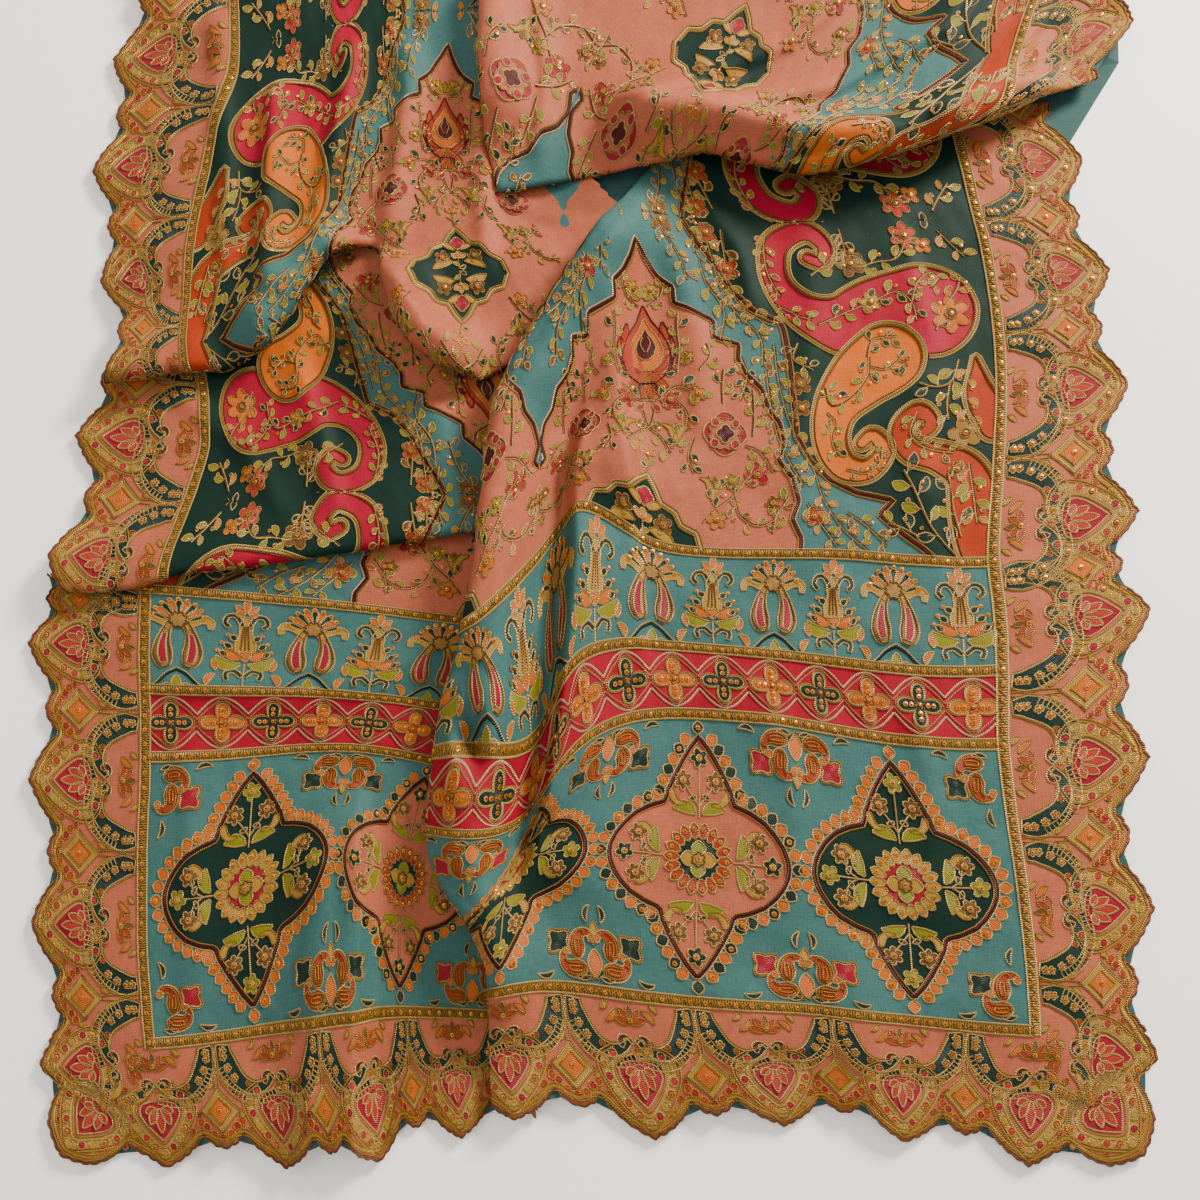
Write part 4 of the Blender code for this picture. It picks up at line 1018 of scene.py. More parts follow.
def sew_cross_strip():
    """The crimson strip's crosses and the wavy diamond lines between them."""
    middle = (STRIP_LOW_SEAM + STRIP_HIGH_SEAM) / 2
    spots = np.arange(-9.5, 10) * CROSS_PITCH
    sew(cross_parts("green"), [(u, middle, 0, 1, 1) for u in spots[0::2]])
    sew(cross_parts("orange"), [(u, middle, 0, 1, 1) for u in spots[1::2]])
    lines = []
    for side in (-1, 1):
        for inset, dye in ((0, "pink"), (4.2, "cream")):
            half = [(0, 18.5 + inset * 0.4), (7, 13 + inset), (12, 9 + inset), (CROSS_PITCH / 2, 2.2 + inset)]
            points = np.array([(-x, y) for x, y in half[:0:-1]] + half) * (1, side)
            points[:, 1] = np.clip(points[:, 1], -19.5, 19.5)
            lines.append(thread(smooth_line(points, 18), dye, 0.75))
    sew(lines, [(u, middle, 0, 1, 1) for u in spots])


# Lines of the twin drops' right half
TWIN_DROP = [(5, 12), (8, 3), (9.5, -6), (9, -15), (6.5, -21)]
SHOULDER = [(3, 8), (9, 12), (15, 15), (20, 13), (20, 8)]
DROP_STEM = [(0, -23), (7, -27), (15, -35), (22.9, -40)]


def twin_drop_parts():
    """Two hanging drops with hooked shoulders under a fan of buds."""
    parts = []
    for side in (-1, 1):
        path = smooth_line([(side * x, y) for x, y in TWIN_DROP], 12)
        half = tapered(12, [0, 0.3, 0.7, 0.9, 1], [1.8, 3.4, 6.6, 5.6, 2.6])
        parts += blade(path, half, "gold", "straw")
        parts.append(thread(rim_of(path, half * 0.8), "bronze", 0.5, True, 0.7))
        parts += blade(path[3:11], half[3:11] * 0.42, "crimson", "cream", 0.7)
        hook = smooth_line([(side * x, y) for x, y in SHOULDER], 12)
        parts += blade(hook, tapered(12, [0, 0.6, 1], [2.6, 3.0, 1.6]), "mustard", "straw")
    for number, degrees in enumerate(np.linspace(-78, 78, 9)):
        way = way_up(degrees)
        dye = ("green", "orange")[number % 2]
        parts += leaf((0, 13) + way * 5, (0, 13) + way * 17.5, 2.4, dye, "straw", 0, 6)
        parts += sequin((0, 13) + way * 16.5, 1.7, 1.2)
    parts += disc((0, 14), lobed(6, 8, 0.25, 24), "gold", 0.8, 0.5, 24, "bronze")
    for side in (-1, 1):
        stem = smooth_line([(side * x, y) for x, y in DROP_STEM], 12)
        parts += [thread(stem, "green", 1.0), thread(stem + (0, 1.5), "straw", 0.5)]
        parts += leaf((side * 19, -34), (side * 24, -25), 2.2, "orange", "straw", side * 0.2)
    parts += leaf((0, -38), (0, -27), 3.2, "lime", "straw", 0)
    for side in (-1, 1):
        parts += leaf((side * 1.5, -37.5), (side * 10, -35), 1.9, "green", "straw", side * 0.2)
    return parts


def lotus_vase_parts():
    """An orange lotus with a vase over it, dark curls and a trefoil at the top."""
    parts = []
    for degrees, far in ((0, 13), (-42, 10), (42, 10), (-80, 7), (80, 7)):
        way = way_up(degrees)
        parts += leaf((0, 20) + way * 1.5, (0, 20) + way * far, 2.2, "orange", "straw", 0, 6)
    spine = np.linspace((0, -8), (0, 19), 12)
    parts += blade(spine, tapered(12, [0, 0.25, 0.5, 0.75, 1], [6, 6.5, 3.6, 4.2, 1.2]),
                   "mustard", "straw")
    for x in (-2.5, 0, 2.5):
        parts.append(thread(np.linspace((x, -6), (x * 0.5, 12), 8), "bronze", 0.5, False, 0.7))
    for side in (-1, 1):
        hook = smooth_line([(side * x, y) for x, y in ((2, 12), (6, 19), (11, 19), (13, 14), (10, 11))], 12)
        parts += blade(hook, np.full(12, 1.4), "green", "straw")
        base = smooth_line([(side * x, y) for x, y in ((1, -26), (6, -22), (11, -24), (10, -29))], 10)
        parts += blade(base, np.full(10, 1.4), "green", "straw")
        for x, y in ((7.5, 2), (11, -4), (13.5, -10)):
            parts += leaf((side * (x - 3), y - 1), (side * (x + 2), y + 2.5), 2.1, "green", "straw", 0, 6)
            parts += sequin((side * (x + 3), y + 3), 1.5, 1.0)
        parts += leaf((side * 2, -17), (side * 18, -11), 4.0, "lime", "straw", side * -0.25)
        parts += leaf((side * 1, -12), (side * 12, -5), 3.4, "orange", "gold", side * -0.2)
        parts += leaf((side * 17, -22), (side * 19, -13), 2.1, "orange", "straw", 0)
    parts += leaf((0, -15), (0, -3), 4.0, "orange", "straw", 0)
    parts.append(thread([(0, -33), (0, -24), (0, -16)], "straw"))
    return parts


def on_flower_band(cloth):
    """Which cloth points lie between the bands of the flower row."""
    return (cloth[:, 1] > STRIP_HIGH_SEAM + 2) & (cloth[:, 1] < FIELD_SEAM - 2)


def sew_flower_band():
    """Twin drops and lotus vases in turn along the flower band."""
    middle = (STRIP_HIGH_SEAM + FIELD_SEAM) / 2 + 1
    spots = np.arange(16) * FLOWER_PITCH - 7.5 * FLOWER_PITCH
    sew(twin_drop_parts(), [(u, middle, 0, 1.1, 1) for u in spots[0::2]], on_flower_band)
    sew(lotus_vase_parts(), [(u, middle, 0, 1.12, 1) for u in spots[1::2]], on_flower_band)


# The field: a repeat in A, the distance from the cloth's middle line, and F, the distance from the line
# where the pink pointed shapes are widest

HALF_REPEAT = 257.0
# Lines along the cloth where F is 0, and the way that F goes from them
FIELD_LINES = [(FIELD_SEAM, 1), (FIELD_SEAM + 2 * HALF_REPEAT, -1), (FIELD_SEAM + 2 * HALF_REPEAT, 1),
               (FIELD_SEAM + 4 * HALF_REPEAT, -1)]
# The field's sewing ends this far inside the gold band's middle line
FIELD_MARGIN = 3.0
PINK_EDGE = [(107, 236), (114, 223), (121, 213), (132, 204), (131, 191), (142, 186), (160, 178), (159, 164),
             (177, 160), (175, 147), (181, 136), (192, 126), (196, 112), (205, 101), (209, 86), (205, 72),
             (217, 58), (223, 40), (219, 27), (227, 12), (227, -6)]
GREEN_EDGE = [(150, 262), (160, 240), (170, 222), (177, 204), (190, 187), (209, 179), (211, 172), (213, 150),
              (215, 120), (218, 90), (229, 72), (246, 58), (268, 48), (296, 43), (286, 32), (302, 20),
              (320, 8), (334, -4)]
HEART_EDGE = [(0, 48), (7, 40), (13, 30), (24, 27), (30, 18), (42, 14), (47, 0)]
PINK_AXIS = 105.0
CENTRE_EDGE = [(0, 186), (8, 196), (20, 203), (30, 218), (46, 228), (58, 243), (62, 262)]


def mirrored(edge, axis):
    """An edge line with its mirror about an upright axis: one line, left side first."""
    edge = np.array(edge, float)
    return np.concatenate([edge[::-1] * (-1, 1) + (2 * axis, 0), edge[1:]])


def field_copies(points, way_u, line, way_f):
    """Field points moved to the flat cloth: U = way_u A, V = line + way_f F."""
    return np.stack([points[:, 0] * way_u, line + way_f * points[:, 1]], -1)


def sew_field(parts, apart=0.0):
    """Puts a field motif at all its mirrored places; apart is the least A and F its faces may have."""
    for kind, points, rise, faces, dye, stitch in joined(parts):
        inside = (points[:, 0] > apart - 0.5) & (points[:, 1] > -0.5) & (points[:, 1] < HALF_REPEAT + 0.5)
        inside &= points[:, 0] < FIELD_HALF_WIDTH - FIELD_MARGIN
        kept = faces[inside[faces].all(1)]
        for line, way_f in FIELD_LINES:
            for way_u in (-1, 1):
                SEWN[kind].append((field_copies(points, way_u, line, way_f), rise, kept, dye, stitch))


def edge_line(edge, dye, width, out=0.0):
    """A cord along a region's edge, moved out by a distance."""
    path = resampled(np.array(edge, float), 3.1)
    return strip("thread", path + sideways(path) * out, width, dye, 0.25, 0.8)


STEM_STEP = 3.4


def vine(points, spacing, size, dyes, seed):
    """A wavy stem with leaves left and right in turn, slanted forwards, and a few buds between them."""
    rng = np.random.default_rng(seed)
    dyes = dyes.split()
    length = np.linalg.norm(np.diff(np.array(points, float), axis=0), axis=1).sum()
    path = smooth_line(points, max(8, int(length / STEM_STEP)))
    left = sideways(path)
    run = np.concatenate([[0], np.cumsum(np.linalg.norm(np.diff(path, axis=0), axis=1))])
    parts = [thread(path, "straw", 0.55), thread(path + left * 1.05, "bronze", 0.4, False, 0.15)]
    marks = np.arange(spacing * 0.5, run[-1], spacing)
    for number, mark in enumerate(marks):
        at = int(np.searchsorted(run, mark).clip(1, len(path) - 2))
        side = 1 if number % 2 else -1
        forward = np.array([left[at, 1], -left[at, 0]])
        away = left[at] * side
        base = path[at] + away * 0.8
        reach = size * rng.uniform(0.85, 1.2)
        tip = base + (away * 0.72 + forward * 0.72) * reach
        dye = dyes[int(rng.integers(len(dyes)))]
        parts += leaf(base + (tip - base) * 0.15, tip, reach * 0.25, dye, "straw", 0.1 * side)
        stalk = [base - away * 0.8, (base + tip) / 2 - away * 0.4, base + (tip - base) * 0.3]
        parts.append(thread(stalk, "straw"))
        if number % 3 == 1:
            spot = path[at] - away * size * 0.55
            parts += disc(spot, 1.5, "rust", 0.3, 0.5, 6, "straw")
        elif number % 3 == 2:
            parts += sequin(path[at] - away * size * 0.5, 1.5, 0.8)
    return parts


def flame_parts():
    """The flame flower: rust, amber and maroon pointed shapes inside each other on a lobed foot."""
    parts = []
    for side in (-1, 1):
        for x, y, half, dye in ((15, 22, 5.5, "rust"), (21, 10, 6, "coral"), (20, -6, 5.5, "rust")):
            parts += leaf((side * 4, -20), (side * x, y), half, dye, "maroon", -0.12 * side, 8)
    for grow, dye, lift in ((1.25, "rust", 0.5), (0.85, "orange", 0.8), (0.5, "maroon", 1.15)):
        spine = np.linspace((0, -22), (0, 29), 16) * grow + (0, 3 * (1 - grow))
        half = tapered(16, [0, 0.12, 0.35, 0.5, 0.62, 0.8, 1],
                         [5, 13, 16.5, 14, 11.5, 5, 0.4]) * grow
        parts += blade(spine, half, dye, "straw" if grow < 1 else "maroon", lift, 0.4, 4)
    for side in (-1, 1):
        for x, y, dye in ((9, -31, "maroon"), (17, -25, "rust"), (4, -37, "rust")):
            parts += leaf((0, -20), (side * x, y - 6), 3.2, dye, "gold", 0, 6)
        parts.append(thread(smooth_line([(side * 1, -4), (side * 4, 3), (side * 2, 9)], 8), "straw", 0.5,
                            False, 1.4))
    for degrees in (-70, -35, 0, 35, 70):
        way = way_up(degrees)
        dye = "amber" if degrees % 70 else "lime"
        parts += leaf((0, 40) + way * 2, (0, 40) + way * 12, 2.2, dye, "gold", 0, 6)
    return parts


def square_flower_parts():
    """A four petalled flower with a maroon heart, double thread round each petal."""
    parts = disc((0, 0), lobed(16.5, 4, 0.25, 40, math.pi / 4), "crimson", 0.25, 0.5, 40, "straw")
    parts += disc((0, 0), lobed(12.5, 8, 0.18, 40), "pink", 0.6, 0.3, 40, "gold")
    parts += disc((0, 0), lobed(7, 4, 0.3, 32, math.pi / 4), "maroon", 0.9, 0.3, 32, "straw")
    for degrees in (45, 135, 225, 315):
        way = way_of(degrees)
        parts += disc(way * 11, 3.2, "crimson", 1.0, 0.4, 10, "straw")
    return parts


def sprig_parts(dye):
    """A small three petalled sprig on a stem with two leaves."""
    parts = [thread(smooth_line([(0, -14), (1, -6), (0, 2)], 7), "gold")]
    for degrees in (-55, 0, 55):
        way = way_up(degrees)
        parts += leaf((0, 1) + way, (0, 1) + way * 8.5, 2.6, dye, "straw", 0, 6)
    parts += leaf((0, -8), (6, -4), 1.8, "lime", "straw")
    parts += leaf((0, -10), (-6, -7), 1.8, "green", "straw")
    return parts + sequin((0, 1), 1.5, 1.2)


# Points read on the photo's right half of the field, three units for each pixel, from pixel (560, 170)
READ_FROM = (560.0, 170.0)
READ_SCALE = 3.0
PHOTO_MIDDLE = 600.0
# The camera: its height and lean, and its focal length in the photo's pixels
CAMERA_HEIGHT = 894.0
CAMERA_TILT = math.radians(10.2)
CAMERA_REACH = 1250.0


def seen_spot(reading, rise):
    """Table x and y, at a height, of a reading: where its line of sight from the camera comes down."""
    picture = np.asarray(reading, float) / READ_SCALE + READ_FROM
    aside, up = picture[:, 0] - PHOTO_MIDDLE, PHOTO_MIDDLE - picture[:, 1]
    down = CAMERA_REACH * math.cos(CAMERA_TILT) - up * math.sin(CAMERA_TILT)
    ahead = CAMERA_REACH * math.sin(CAMERA_TILT) + up * math.cos(CAMERA_TILT)
    share = (CAMERA_HEIGHT - rise) / down
    return np.stack([share * aside, share * ahead - CAMERA_HEIGHT * math.tan(CAMERA_TILT)], -1)


def read_on_field(reading):
    """A and F of readings: the cloth's height under each line of sight, then its flat place."""
    spots = seen_spot(reading, REST_HEIGHT["right"])
    for _ in range(3):
        spots = seen_spot(reading, height("right", spots))
    return on_cloth("right", spots) - (0, FIELD_SEAM)


# The curled patches in A and F: the line down a drop's middle from body to curl, and its half widths
CURLED = {
    "magenta": ([(318, 185), (284, 183), (250, 178), (224, 190), (211, 214), (217, 240), (238, 250),
                 (250, 238), (244, 226), (236, 229)], [36, 33, 29, 24, 16, 11, 9.5, 9, 8, 6.5, 5]),
    "orange": ([(286, 150), (266, 135), (248, 112), (245, 88), (256, 69), (275, 66), (286, 80), (277, 92),
                (269, 86)], [27, 25, 21, 16, 14, 12, 10, 8, 6.5, 5]),
    "rust": ([(366, -8), (356, 30), (346, 62), (326, 74), (306, 80), (298, 96), (309, 108), (320, 99),
              (313, 92)], [15, 17, 18, 16, 13, 11, 9.5, 8, 6.5, 5]),
    "rust leaf": ([(364, 96), (353, 118), (350, 146)], [12, 11, 2]),
}


def drop_loop(points, halves):
    """A curled drop's outline: both sides of a line at its half widths, with half circles round its ends."""
    spine = smooth_line(points, 60)
    half = tapered(60, np.linspace(0, 1, len(halves)), halves)
    half = running_mean(half, 4)[:, None]
    left = sideways(spine)
    forward = np.stack([left[:, 1], -left[:, 0]], -1)
    turn = np.radians(np.arange(12, 180, 12))[:, None]
    far_end = spine[-1] + half[-1] * (np.cos(turn) * left[-1] + np.sin(turn) * forward[-1])
    near_end = spine[0] - half[0] * (np.cos(turn) * left[0] + np.sin(turn) * forward[0])
    return np.concatenate([spine + left * half, far_end, (spine - left * half)[::-1], near_end])


CURLED_LOOPS = {name: drop_loop(points, halves) for name, (points, halves) in CURLED.items()}
PATCH_DYES = ("magenta", "orange", "rust")


def cord_line(name):
    """A patch's outline where its cord shows: all round, but magenta's ends where orange lies over it."""
    loop = CURLED_LOOPS[name]
    if name != "magenta":
        return np.concatenate([loop, loop[:1]])
    shown = ~inside_loop(CURLED_LOOPS["orange"], loop)
    first = int(np.argmin(shown))
    return np.roll(loop, -first, axis=0)[np.roll(shown, -first)]


# Vines on the green and teal of the field: readings, size of the leaves, dyes of the leaves, seed
VINES = [
    ([(380, 10), (390, 90), (430, 190), (455, 270), (475, 340), (520, 420), (598, 500), (606, 590)], 8,
     "lime bronze amber", 1),
    ([(640, 520), (652, 620), (676, 720), (716, 820), (760, 900), (790, 990), (850, 1080), (930, 1150)], 9,
     "lime bronze lime amber", 2),
    ([(616, 600), (630, 700), (652, 800), (690, 880), (730, 950)], 7, "lime teal bronze", 3),
    ([(480, 180), (492, 260), (500, 340), (540, 410), (600, 450), (650, 470)], 9,
     "lime bronze gold", 4),
    ([(740, 1000), (780, 1060), (830, 1130)], 9, "lime amber", 5),
    ([(860, 1030), (920, 1070), (980, 1130)], 9, "lime bronze", 6),
    ([(330, 60), (350, 130), (395, 200), (400, 250)], 10, "lime teal", 7),
    ([(415, 270), (436, 340), (490, 420), (480, 510)], 10, "lime lime teal", 8),
    ([(230, 40), (260, 110), (300, 170), (350, 250), (380, 330)], 9, "lime amber teal", 9),
    ([(1196, 570), (1172, 636), (1120, 652), (1076, 640)], 12, "lime green lime", 10),
    ([(1168, 640), (1160, 700), (1164, 750)], 11, "lime lime", 11),
    ([(752, 318), (800, 280), (840, 236), (880, 290), (950, 276), (1012, 262), (1040, 200)], 10,
     "lime green lime", 12),
    ([(1190, 1155), (1122, 1080), (1084, 1006), (1060, 950), (1032, 900)], 13, "lime lime green", 13),
    ([(1204, 1100), (1180, 1020), (1172, 960), (1164, 910)], 12, "lime green", 14),
    ([(1080, 1100), (1020, 1070), (980, 1060)], 12, "lime green", 15),
    ([(712, 520), (700, 570), (760, 600)], 10, "lime green", 16),
    ([(835, 180), (850, 230), (862, 270)], 8, "green lime", 17),
    ([(610, 60), (640, 100), (700, 130), (780, 120), (850, 100)], 10, "lime green", 18),
    ([(500, 60), (560, 110), (640, 130)], 10, "lime green", 19),
    ([(880, 60), (960, 100), (1060, 110), (1120, 160)], 10, "lime green", 20),
    ([(1130, 180), (1170, 220), (1215, 260)], 9, "amber lime", 21),
]
# Seeds of the vines on the teal ground: they come again on the teal at the cloth's middle line
ON_TEAL = (1, 4, 7, 8, 9)
# Vines on the curled patches
PATCH_VINES = [
    ([(776, 464), (850, 432), (930, 400), (1010, 366), (1056, 400), (1070, 450)], 9,
     "green lime orange", 31),
    ([(1056, 396), (1070, 340), (1110, 308), (1132, 330), (1112, 352)], 7, "orange lime", 32),
    ([(1130, 480), (1150, 420), (1190, 360), (1200, 320)], 9, "green orange", 33),
    ([(640, 400), (680, 420), (722, 440), (760, 450)], 8, "lime mustard", 34),
    ([(612, 190), (610, 250), (622, 310), (660, 380)], 7, "lime coral", 35),
    ([(926, 560), (920, 620), (870, 680), (816, 704), (800, 650)], 9, "green lime", 36),
    ([(926, 590), (980, 600), (1020, 570), (1040, 590)], 8, "green mustard", 37),
    ([(924, 560), (940, 510), (1010, 500)], 8, "green bronze", 38),
    ([(800, 730), (826, 760), (812, 800), (830, 860)], 8, "green lime", 39),
    ([(1070, 728), (1050, 790), (1090, 830), (1180, 850)], 8, "lime green", 40),
    ([(1230, 570), (1216, 660), (1230, 760)], 9, "lime amber", 41),
    ([(1226, 880), (1236, 960), (1250, 1060)], 9, "lime amber", 42),
    ([(860, 900), (920, 910), (960, 880), (968, 830)], 6, "crimson lime", 43),
]
# Flowers: reading, radius, petals, dye
FLOWERS = [
    ((870, 282), 11, 5, "bronze"), ((1030, 196), 11, 6, "coral"), ((1086, 226), 7, 4, "orange"),
    ((720, 642), 9, 5, "bronze"), ((725, 716), 7, 4, "bronze"), ((1215, 790), 12, 5, "gold"),
    ((1172, 432), 15, 6, "orange"), ((930, 398), 8, 5, "mustard"), ((500, 300), 9, 5, "rust"),
    ((436, 190), 8, 5, "rust"), ((762, 1040), 8, 5, "rust"), ((800, 60), 10, 6, "coral"),
    ((1105, 60), 9, 5, "rust"), ((300, 150), 10, 6, "bronze"), ((84, 290), 9, 5, "crimson"),
    ((1190, 900), 6, 5, "bronze"),
]
# On the pink ground, right of its middle line: stems, size of leaves, dyes, seed
PINK_SPRAYS = [
    ([(352, 610), (358, 540), (352, 470), (354, 430)], 9, "lime green mustard", 51),
    ([(245, 690), (300, 690), (345, 652), (400, 664), (436, 690)], 10,
     "lime crimson green orange", 52),
    ([(345, 690), (380, 730), (376, 780)], 9, "lime green", 53),
    ([(490, 700), (488, 650), (492, 600)], 10, "lime green", 54),
    ([(580, 800), (584, 740), (580, 660)], 9, "green lime", 55),
    ([(556, 830), (600, 850), (640, 910)], 8, "lime amber", 56),
    ([(400, 800), (384, 860), (400, 910)], 9, "green lime", 57),
    ([(430, 1060), (470, 1020), (520, 980), (560, 930), (596, 900)], 10,
     "lime crimson orange green", 58),
    ([(520, 980), (540, 1040), (600, 1070), (660, 1040)], 9, "lime amber bronze", 59),
    ([(440, 920), (470, 960), (520, 930)], 9, "green mustard", 60),
    ([(245, 720), (262, 770), (300, 800), (330, 850)], 9, "mustard green bronze", 61),
    ([(640, 1090), (650, 1040), (690, 980)], 9, "rust lime", 62),
    ([(300, 620), (330, 580), (340, 520)], 8, "lime green", 63),
    ([(420, 600), (450, 560), (440, 520)], 8, "amber lime", 64),
    ([(262, 410), (300, 380), (310, 340)], 8, "lime mustard", 65),
    ([(540, 560), (560, 620), (540, 690)], 8, "amber green", 66),
]
PINK_FLOWERS = [
    ((332, 690), 8, 5, "crimson"), ((592, 915), 10, 5, "crimson"), ((415, 670), 6, 5, "orange"),
    ((515, 935), 6, 5, "lime"), ((384, 560), 5, 5, "mustard"), ((470, 1050), 8, 5, "orange"),
    ((640, 1000), 6, 5, "bronze"), ((270, 360), 6, 5, "mustard"),
]


# Sprigs: A, F, degrees turned, dye
SPRIGS = [(PINK_AXIS, 12, 0, "amber"), (PINK_AXIS, 64, 0, "orange"), (12, 236, 0, "orange"),
          (12, 206, 180, "lime")]


def trumpet_parts():
    """A mustard trumpet flower on its stem."""
    parts = []
    for side in (-1, 1):
        path = smooth_line([(0, -12), (side * 1.5, -3), (side * 5, 2), (side * 11, 4)], 9)
        parts += blade(path, tapered(9, [0, 0.5, 1], [1.2, 3.2, 0.6]), "mustard", "gold")
    return parts + leaf((0, -3), (0, 6), 2.6, "bronze", "gold", 0, 6)


def across_axis(parts):
    """Parts with their mirror about the pink ground's middle line."""
    return parts + [(part[0], part[1] * (-1, 1) + (2 * PINK_AXIS, 0), *part[2:]) for part in parts]


def sew_field_motifs():
    """Everything on the field, sewn in one repeat and mirrored to the others."""
    pink = mirrored(PINK_EDGE, PINK_AXIS)
    sew_field([edge_line(pink, "maroon", 1.25), edge_line(pink, "gold", 0.8, -2.2),
               edge_line(pink, "cream", 0.55, 1.9)], 0.5)
    for edge in (GREEN_EDGE, CENTRE_EDGE):
        sew_field([edge_line(edge, "maroon", 1.25), edge_line(edge, "gold", 0.7, 2.1),
                   edge_line(edge, "gold", 0.7, -2.1)])
    heart = [(a + PINK_AXIS, f) for a, f in mirrored(HEART_EDGE, 0)]
    sew_field([edge_line(heart, "straw", 1.1), edge_line(heart, "gold", 0.8, -2.2),
               edge_line(heart, "gold", 0.7, 2.0)])
    for name in CURLED_LOOPS:
        line = cord_line(name)
        sew_field([edge_line(line, "gold", 1.15, 0.2), edge_line(line, "straw", 0.6, 2.0),
                   edge_line(line, "bronze", 0.5, -1.7)])
    for readings, size, dyes, seed in VINES + PATCH_VINES:
        parts = vine(read_on_field(readings), size * 0.82, size, dyes, seed)
        sew_field(across_axis(parts) if seed in ON_TEAL else parts, 0.5)
    for spot, radius, petals, dye in FLOWERS:
        sew_field(moved(flower((0, 0), radius, petals, dye), read_on_field([spot])[0]))
    for readings, size, dyes, seed in PINK_SPRAYS:
        sew_field(across_axis(vine(read_on_field(readings), size * 0.9, size, dyes, seed)))
    for spot, radius, petals, dye in PINK_FLOWERS:
        sew_field(across_axis(moved(flower((0, 0), radius, petals, dye), read_on_field([spot])[0])))
    sew_field(moved(flame_parts(), (PINK_AXIS, 155)))
    sew_field(across_axis(moved(flower((0, 0), 7.5, 5, "bronze"), (PINK_AXIS + 16, 15))
                          + leaf((PINK_AXIS + 5, 9), (PINK_AXIS + 26, 3), 4, "mustard")
                          + leaf((PINK_AXIS + 3, 22), (PINK_AXIS + 14, 28), 3, "mustard")))
    sew_field(disc((PINK_AXIS, 30), lobed(7, 4, 0.25, 20, math.pi / 4), "crimson", 0.3, 0.4, 20, "straw"))
    sew_field(across_axis(moved(square_flower_parts(), (163, 91)) + moved(trumpet_parts(), (157, 52))
                          + moved(trumpet_parts(), (126, 90))))
    for a, f, degrees, dye in SPRIGS:
        sew_field(moved(sprig_parts(dye), (a, f), degrees))


# The cloth itself

NET_STEP = 3.0
PANEL_STEP = 3.2
NET_MARGIN = 12.0
# Depths in a ground are kept as far as this from its edge
EDGE_CLIP = 6.0
# Sewing ends this far under a stretch that covers it
COVERED_GAP = 15.0
# The stretches that cover each one
ABOVE = {"left": ("right", "fold"), "fold": ("right", "upper"), "upper": ("right", "top"), "top": (),
         "right": ("top",)}
# Small waves of the cloth: height, wave length, direction in degrees, start
WAVES = [(0.45, 118, 20, 0.3), (0.4, 83, 105, 1.1), (0.3, 57, 65, 2.2), (0.22, 39, -30, 0.8),
         (0.16, 27, 85, 1.9), (0.12, 19, 10, 2.7), (0.08, 13.5, 120, 0.4)]
# The border's rows, its rim's distance past the cut edge and lift, and the lining's rows, lift,
# start and distance short of the cut edge
BORDER_ROWS = 12
RIM_LIFT = [(0.35, -0.6), (0.1, -1.5), (-3.0, -1.8)]
LINING_ROWS = 5
LINING_LIFT = -1.3
LINING_START = 34.0
LINING_INSET = 3.0
# Each panel's node, the name of its silk, and the seams at its ends
PANELS = [
    ("end_panel", "teal silk", HEM_SEAM, STRIP_LOW_SEAM),
    ("cross_strip", "crimson silk", STRIP_LOW_SEAM, STRIP_HIGH_SEAM),
    ("flower_band", "teal silk", STRIP_HIGH_SEAM, FIELD_SEAM),
    ("field", "dark green silk", FIELD_SEAM, CLOTH_TOP),
]
PIECE_WORDS = {"thread": "gold_threads", "edging": "border_threads", "shape": "satin_stitch",
               "band": "gold_bands", "sequin": "sequins"}


def turned_out(points):
    """Unit normals of a net of points: the cross product of its runs along both axes."""
    normals = np.cross(np.gradient(points, axis=1), np.gradient(points, axis=0))
    return normals / np.maximum(np.linalg.norm(normals, axis=-1, keepdims=True), 1e-9)


def small_waves(cloth):
    """Height of the small waves: sines along seven directions, each bent by a slower one."""
    rise = np.zeros(cloth.shape[:-1])
    for size, length, degrees, start in WAVES:
        way = way_of(degrees)
        along, aside = cloth @ way, cloth @ way[::-1]
        bend = 1.3 * np.sin(aside / (length * 0.7) + start)
        rise += size * np.sin(2 * math.pi * along / length + start + bend)
    return rise


def net_of(stretch):
    """A regular net on the flat cloth over the stretch: its laid points with small waves, and normals."""
    loop = stretch_loop(stretch)
    low, high = loop.min(0) - NET_MARGIN, loop.max(0) + NET_MARGIN
    u, v = np.meshgrid(np.arange(low[0], high[0], NET_STEP), np.arange(low[1], high[1], NET_STEP))
    cloth = np.stack([u, v], -1)
    flat = cloth.reshape(-1, 2)
    points = laid(stretch, flat).reshape(*u.shape, 3)
    points += turned_out(points) * small_waves(cloth)[..., None]
    return {"low": low, "points": points, "normals": turned_out(points), "stretch": stretch,
            "inside": inside_loop(loop, flat).reshape(u.shape)}


def cells_of(net, cloth):
    """The net's cell that each cloth point is in, and the shares across it."""
    rows, columns = net["inside"].shape
    place = (cloth - net["low"]) / NET_STEP
    column = np.clip(place[:, 0].astype(int), 0, columns - 2)
    row = np.clip(place[:, 1].astype(int), 0, rows - 2)
    share = np.clip(place - np.stack([column, row], -1), 0, 1)
    return row, column, share


def over(net, cloth, lift):
    """World points of cloth points, lifted along the normals: the cell's corners mixed by the shares."""
    row, column, share = cells_of(net, cloth)
    mixed = 0
    for down, right in ((0, 0), (0, 1), (1, 0), (1, 1)):
        weight = np.where(right, share[:, 0], 1 - share[:, 0]) * np.where(down, share[:, 1], 1 - share[:, 1])
        both = np.concatenate([net["points"], net["normals"]], -1)[row + down, column + right]
        mixed = mixed + both * weight[:, None]
    return (mixed[:, :3] + mixed[:, 3:] * np.asarray(lift, float).reshape(-1, 1) - (*MIDDLE, 0)) * MM


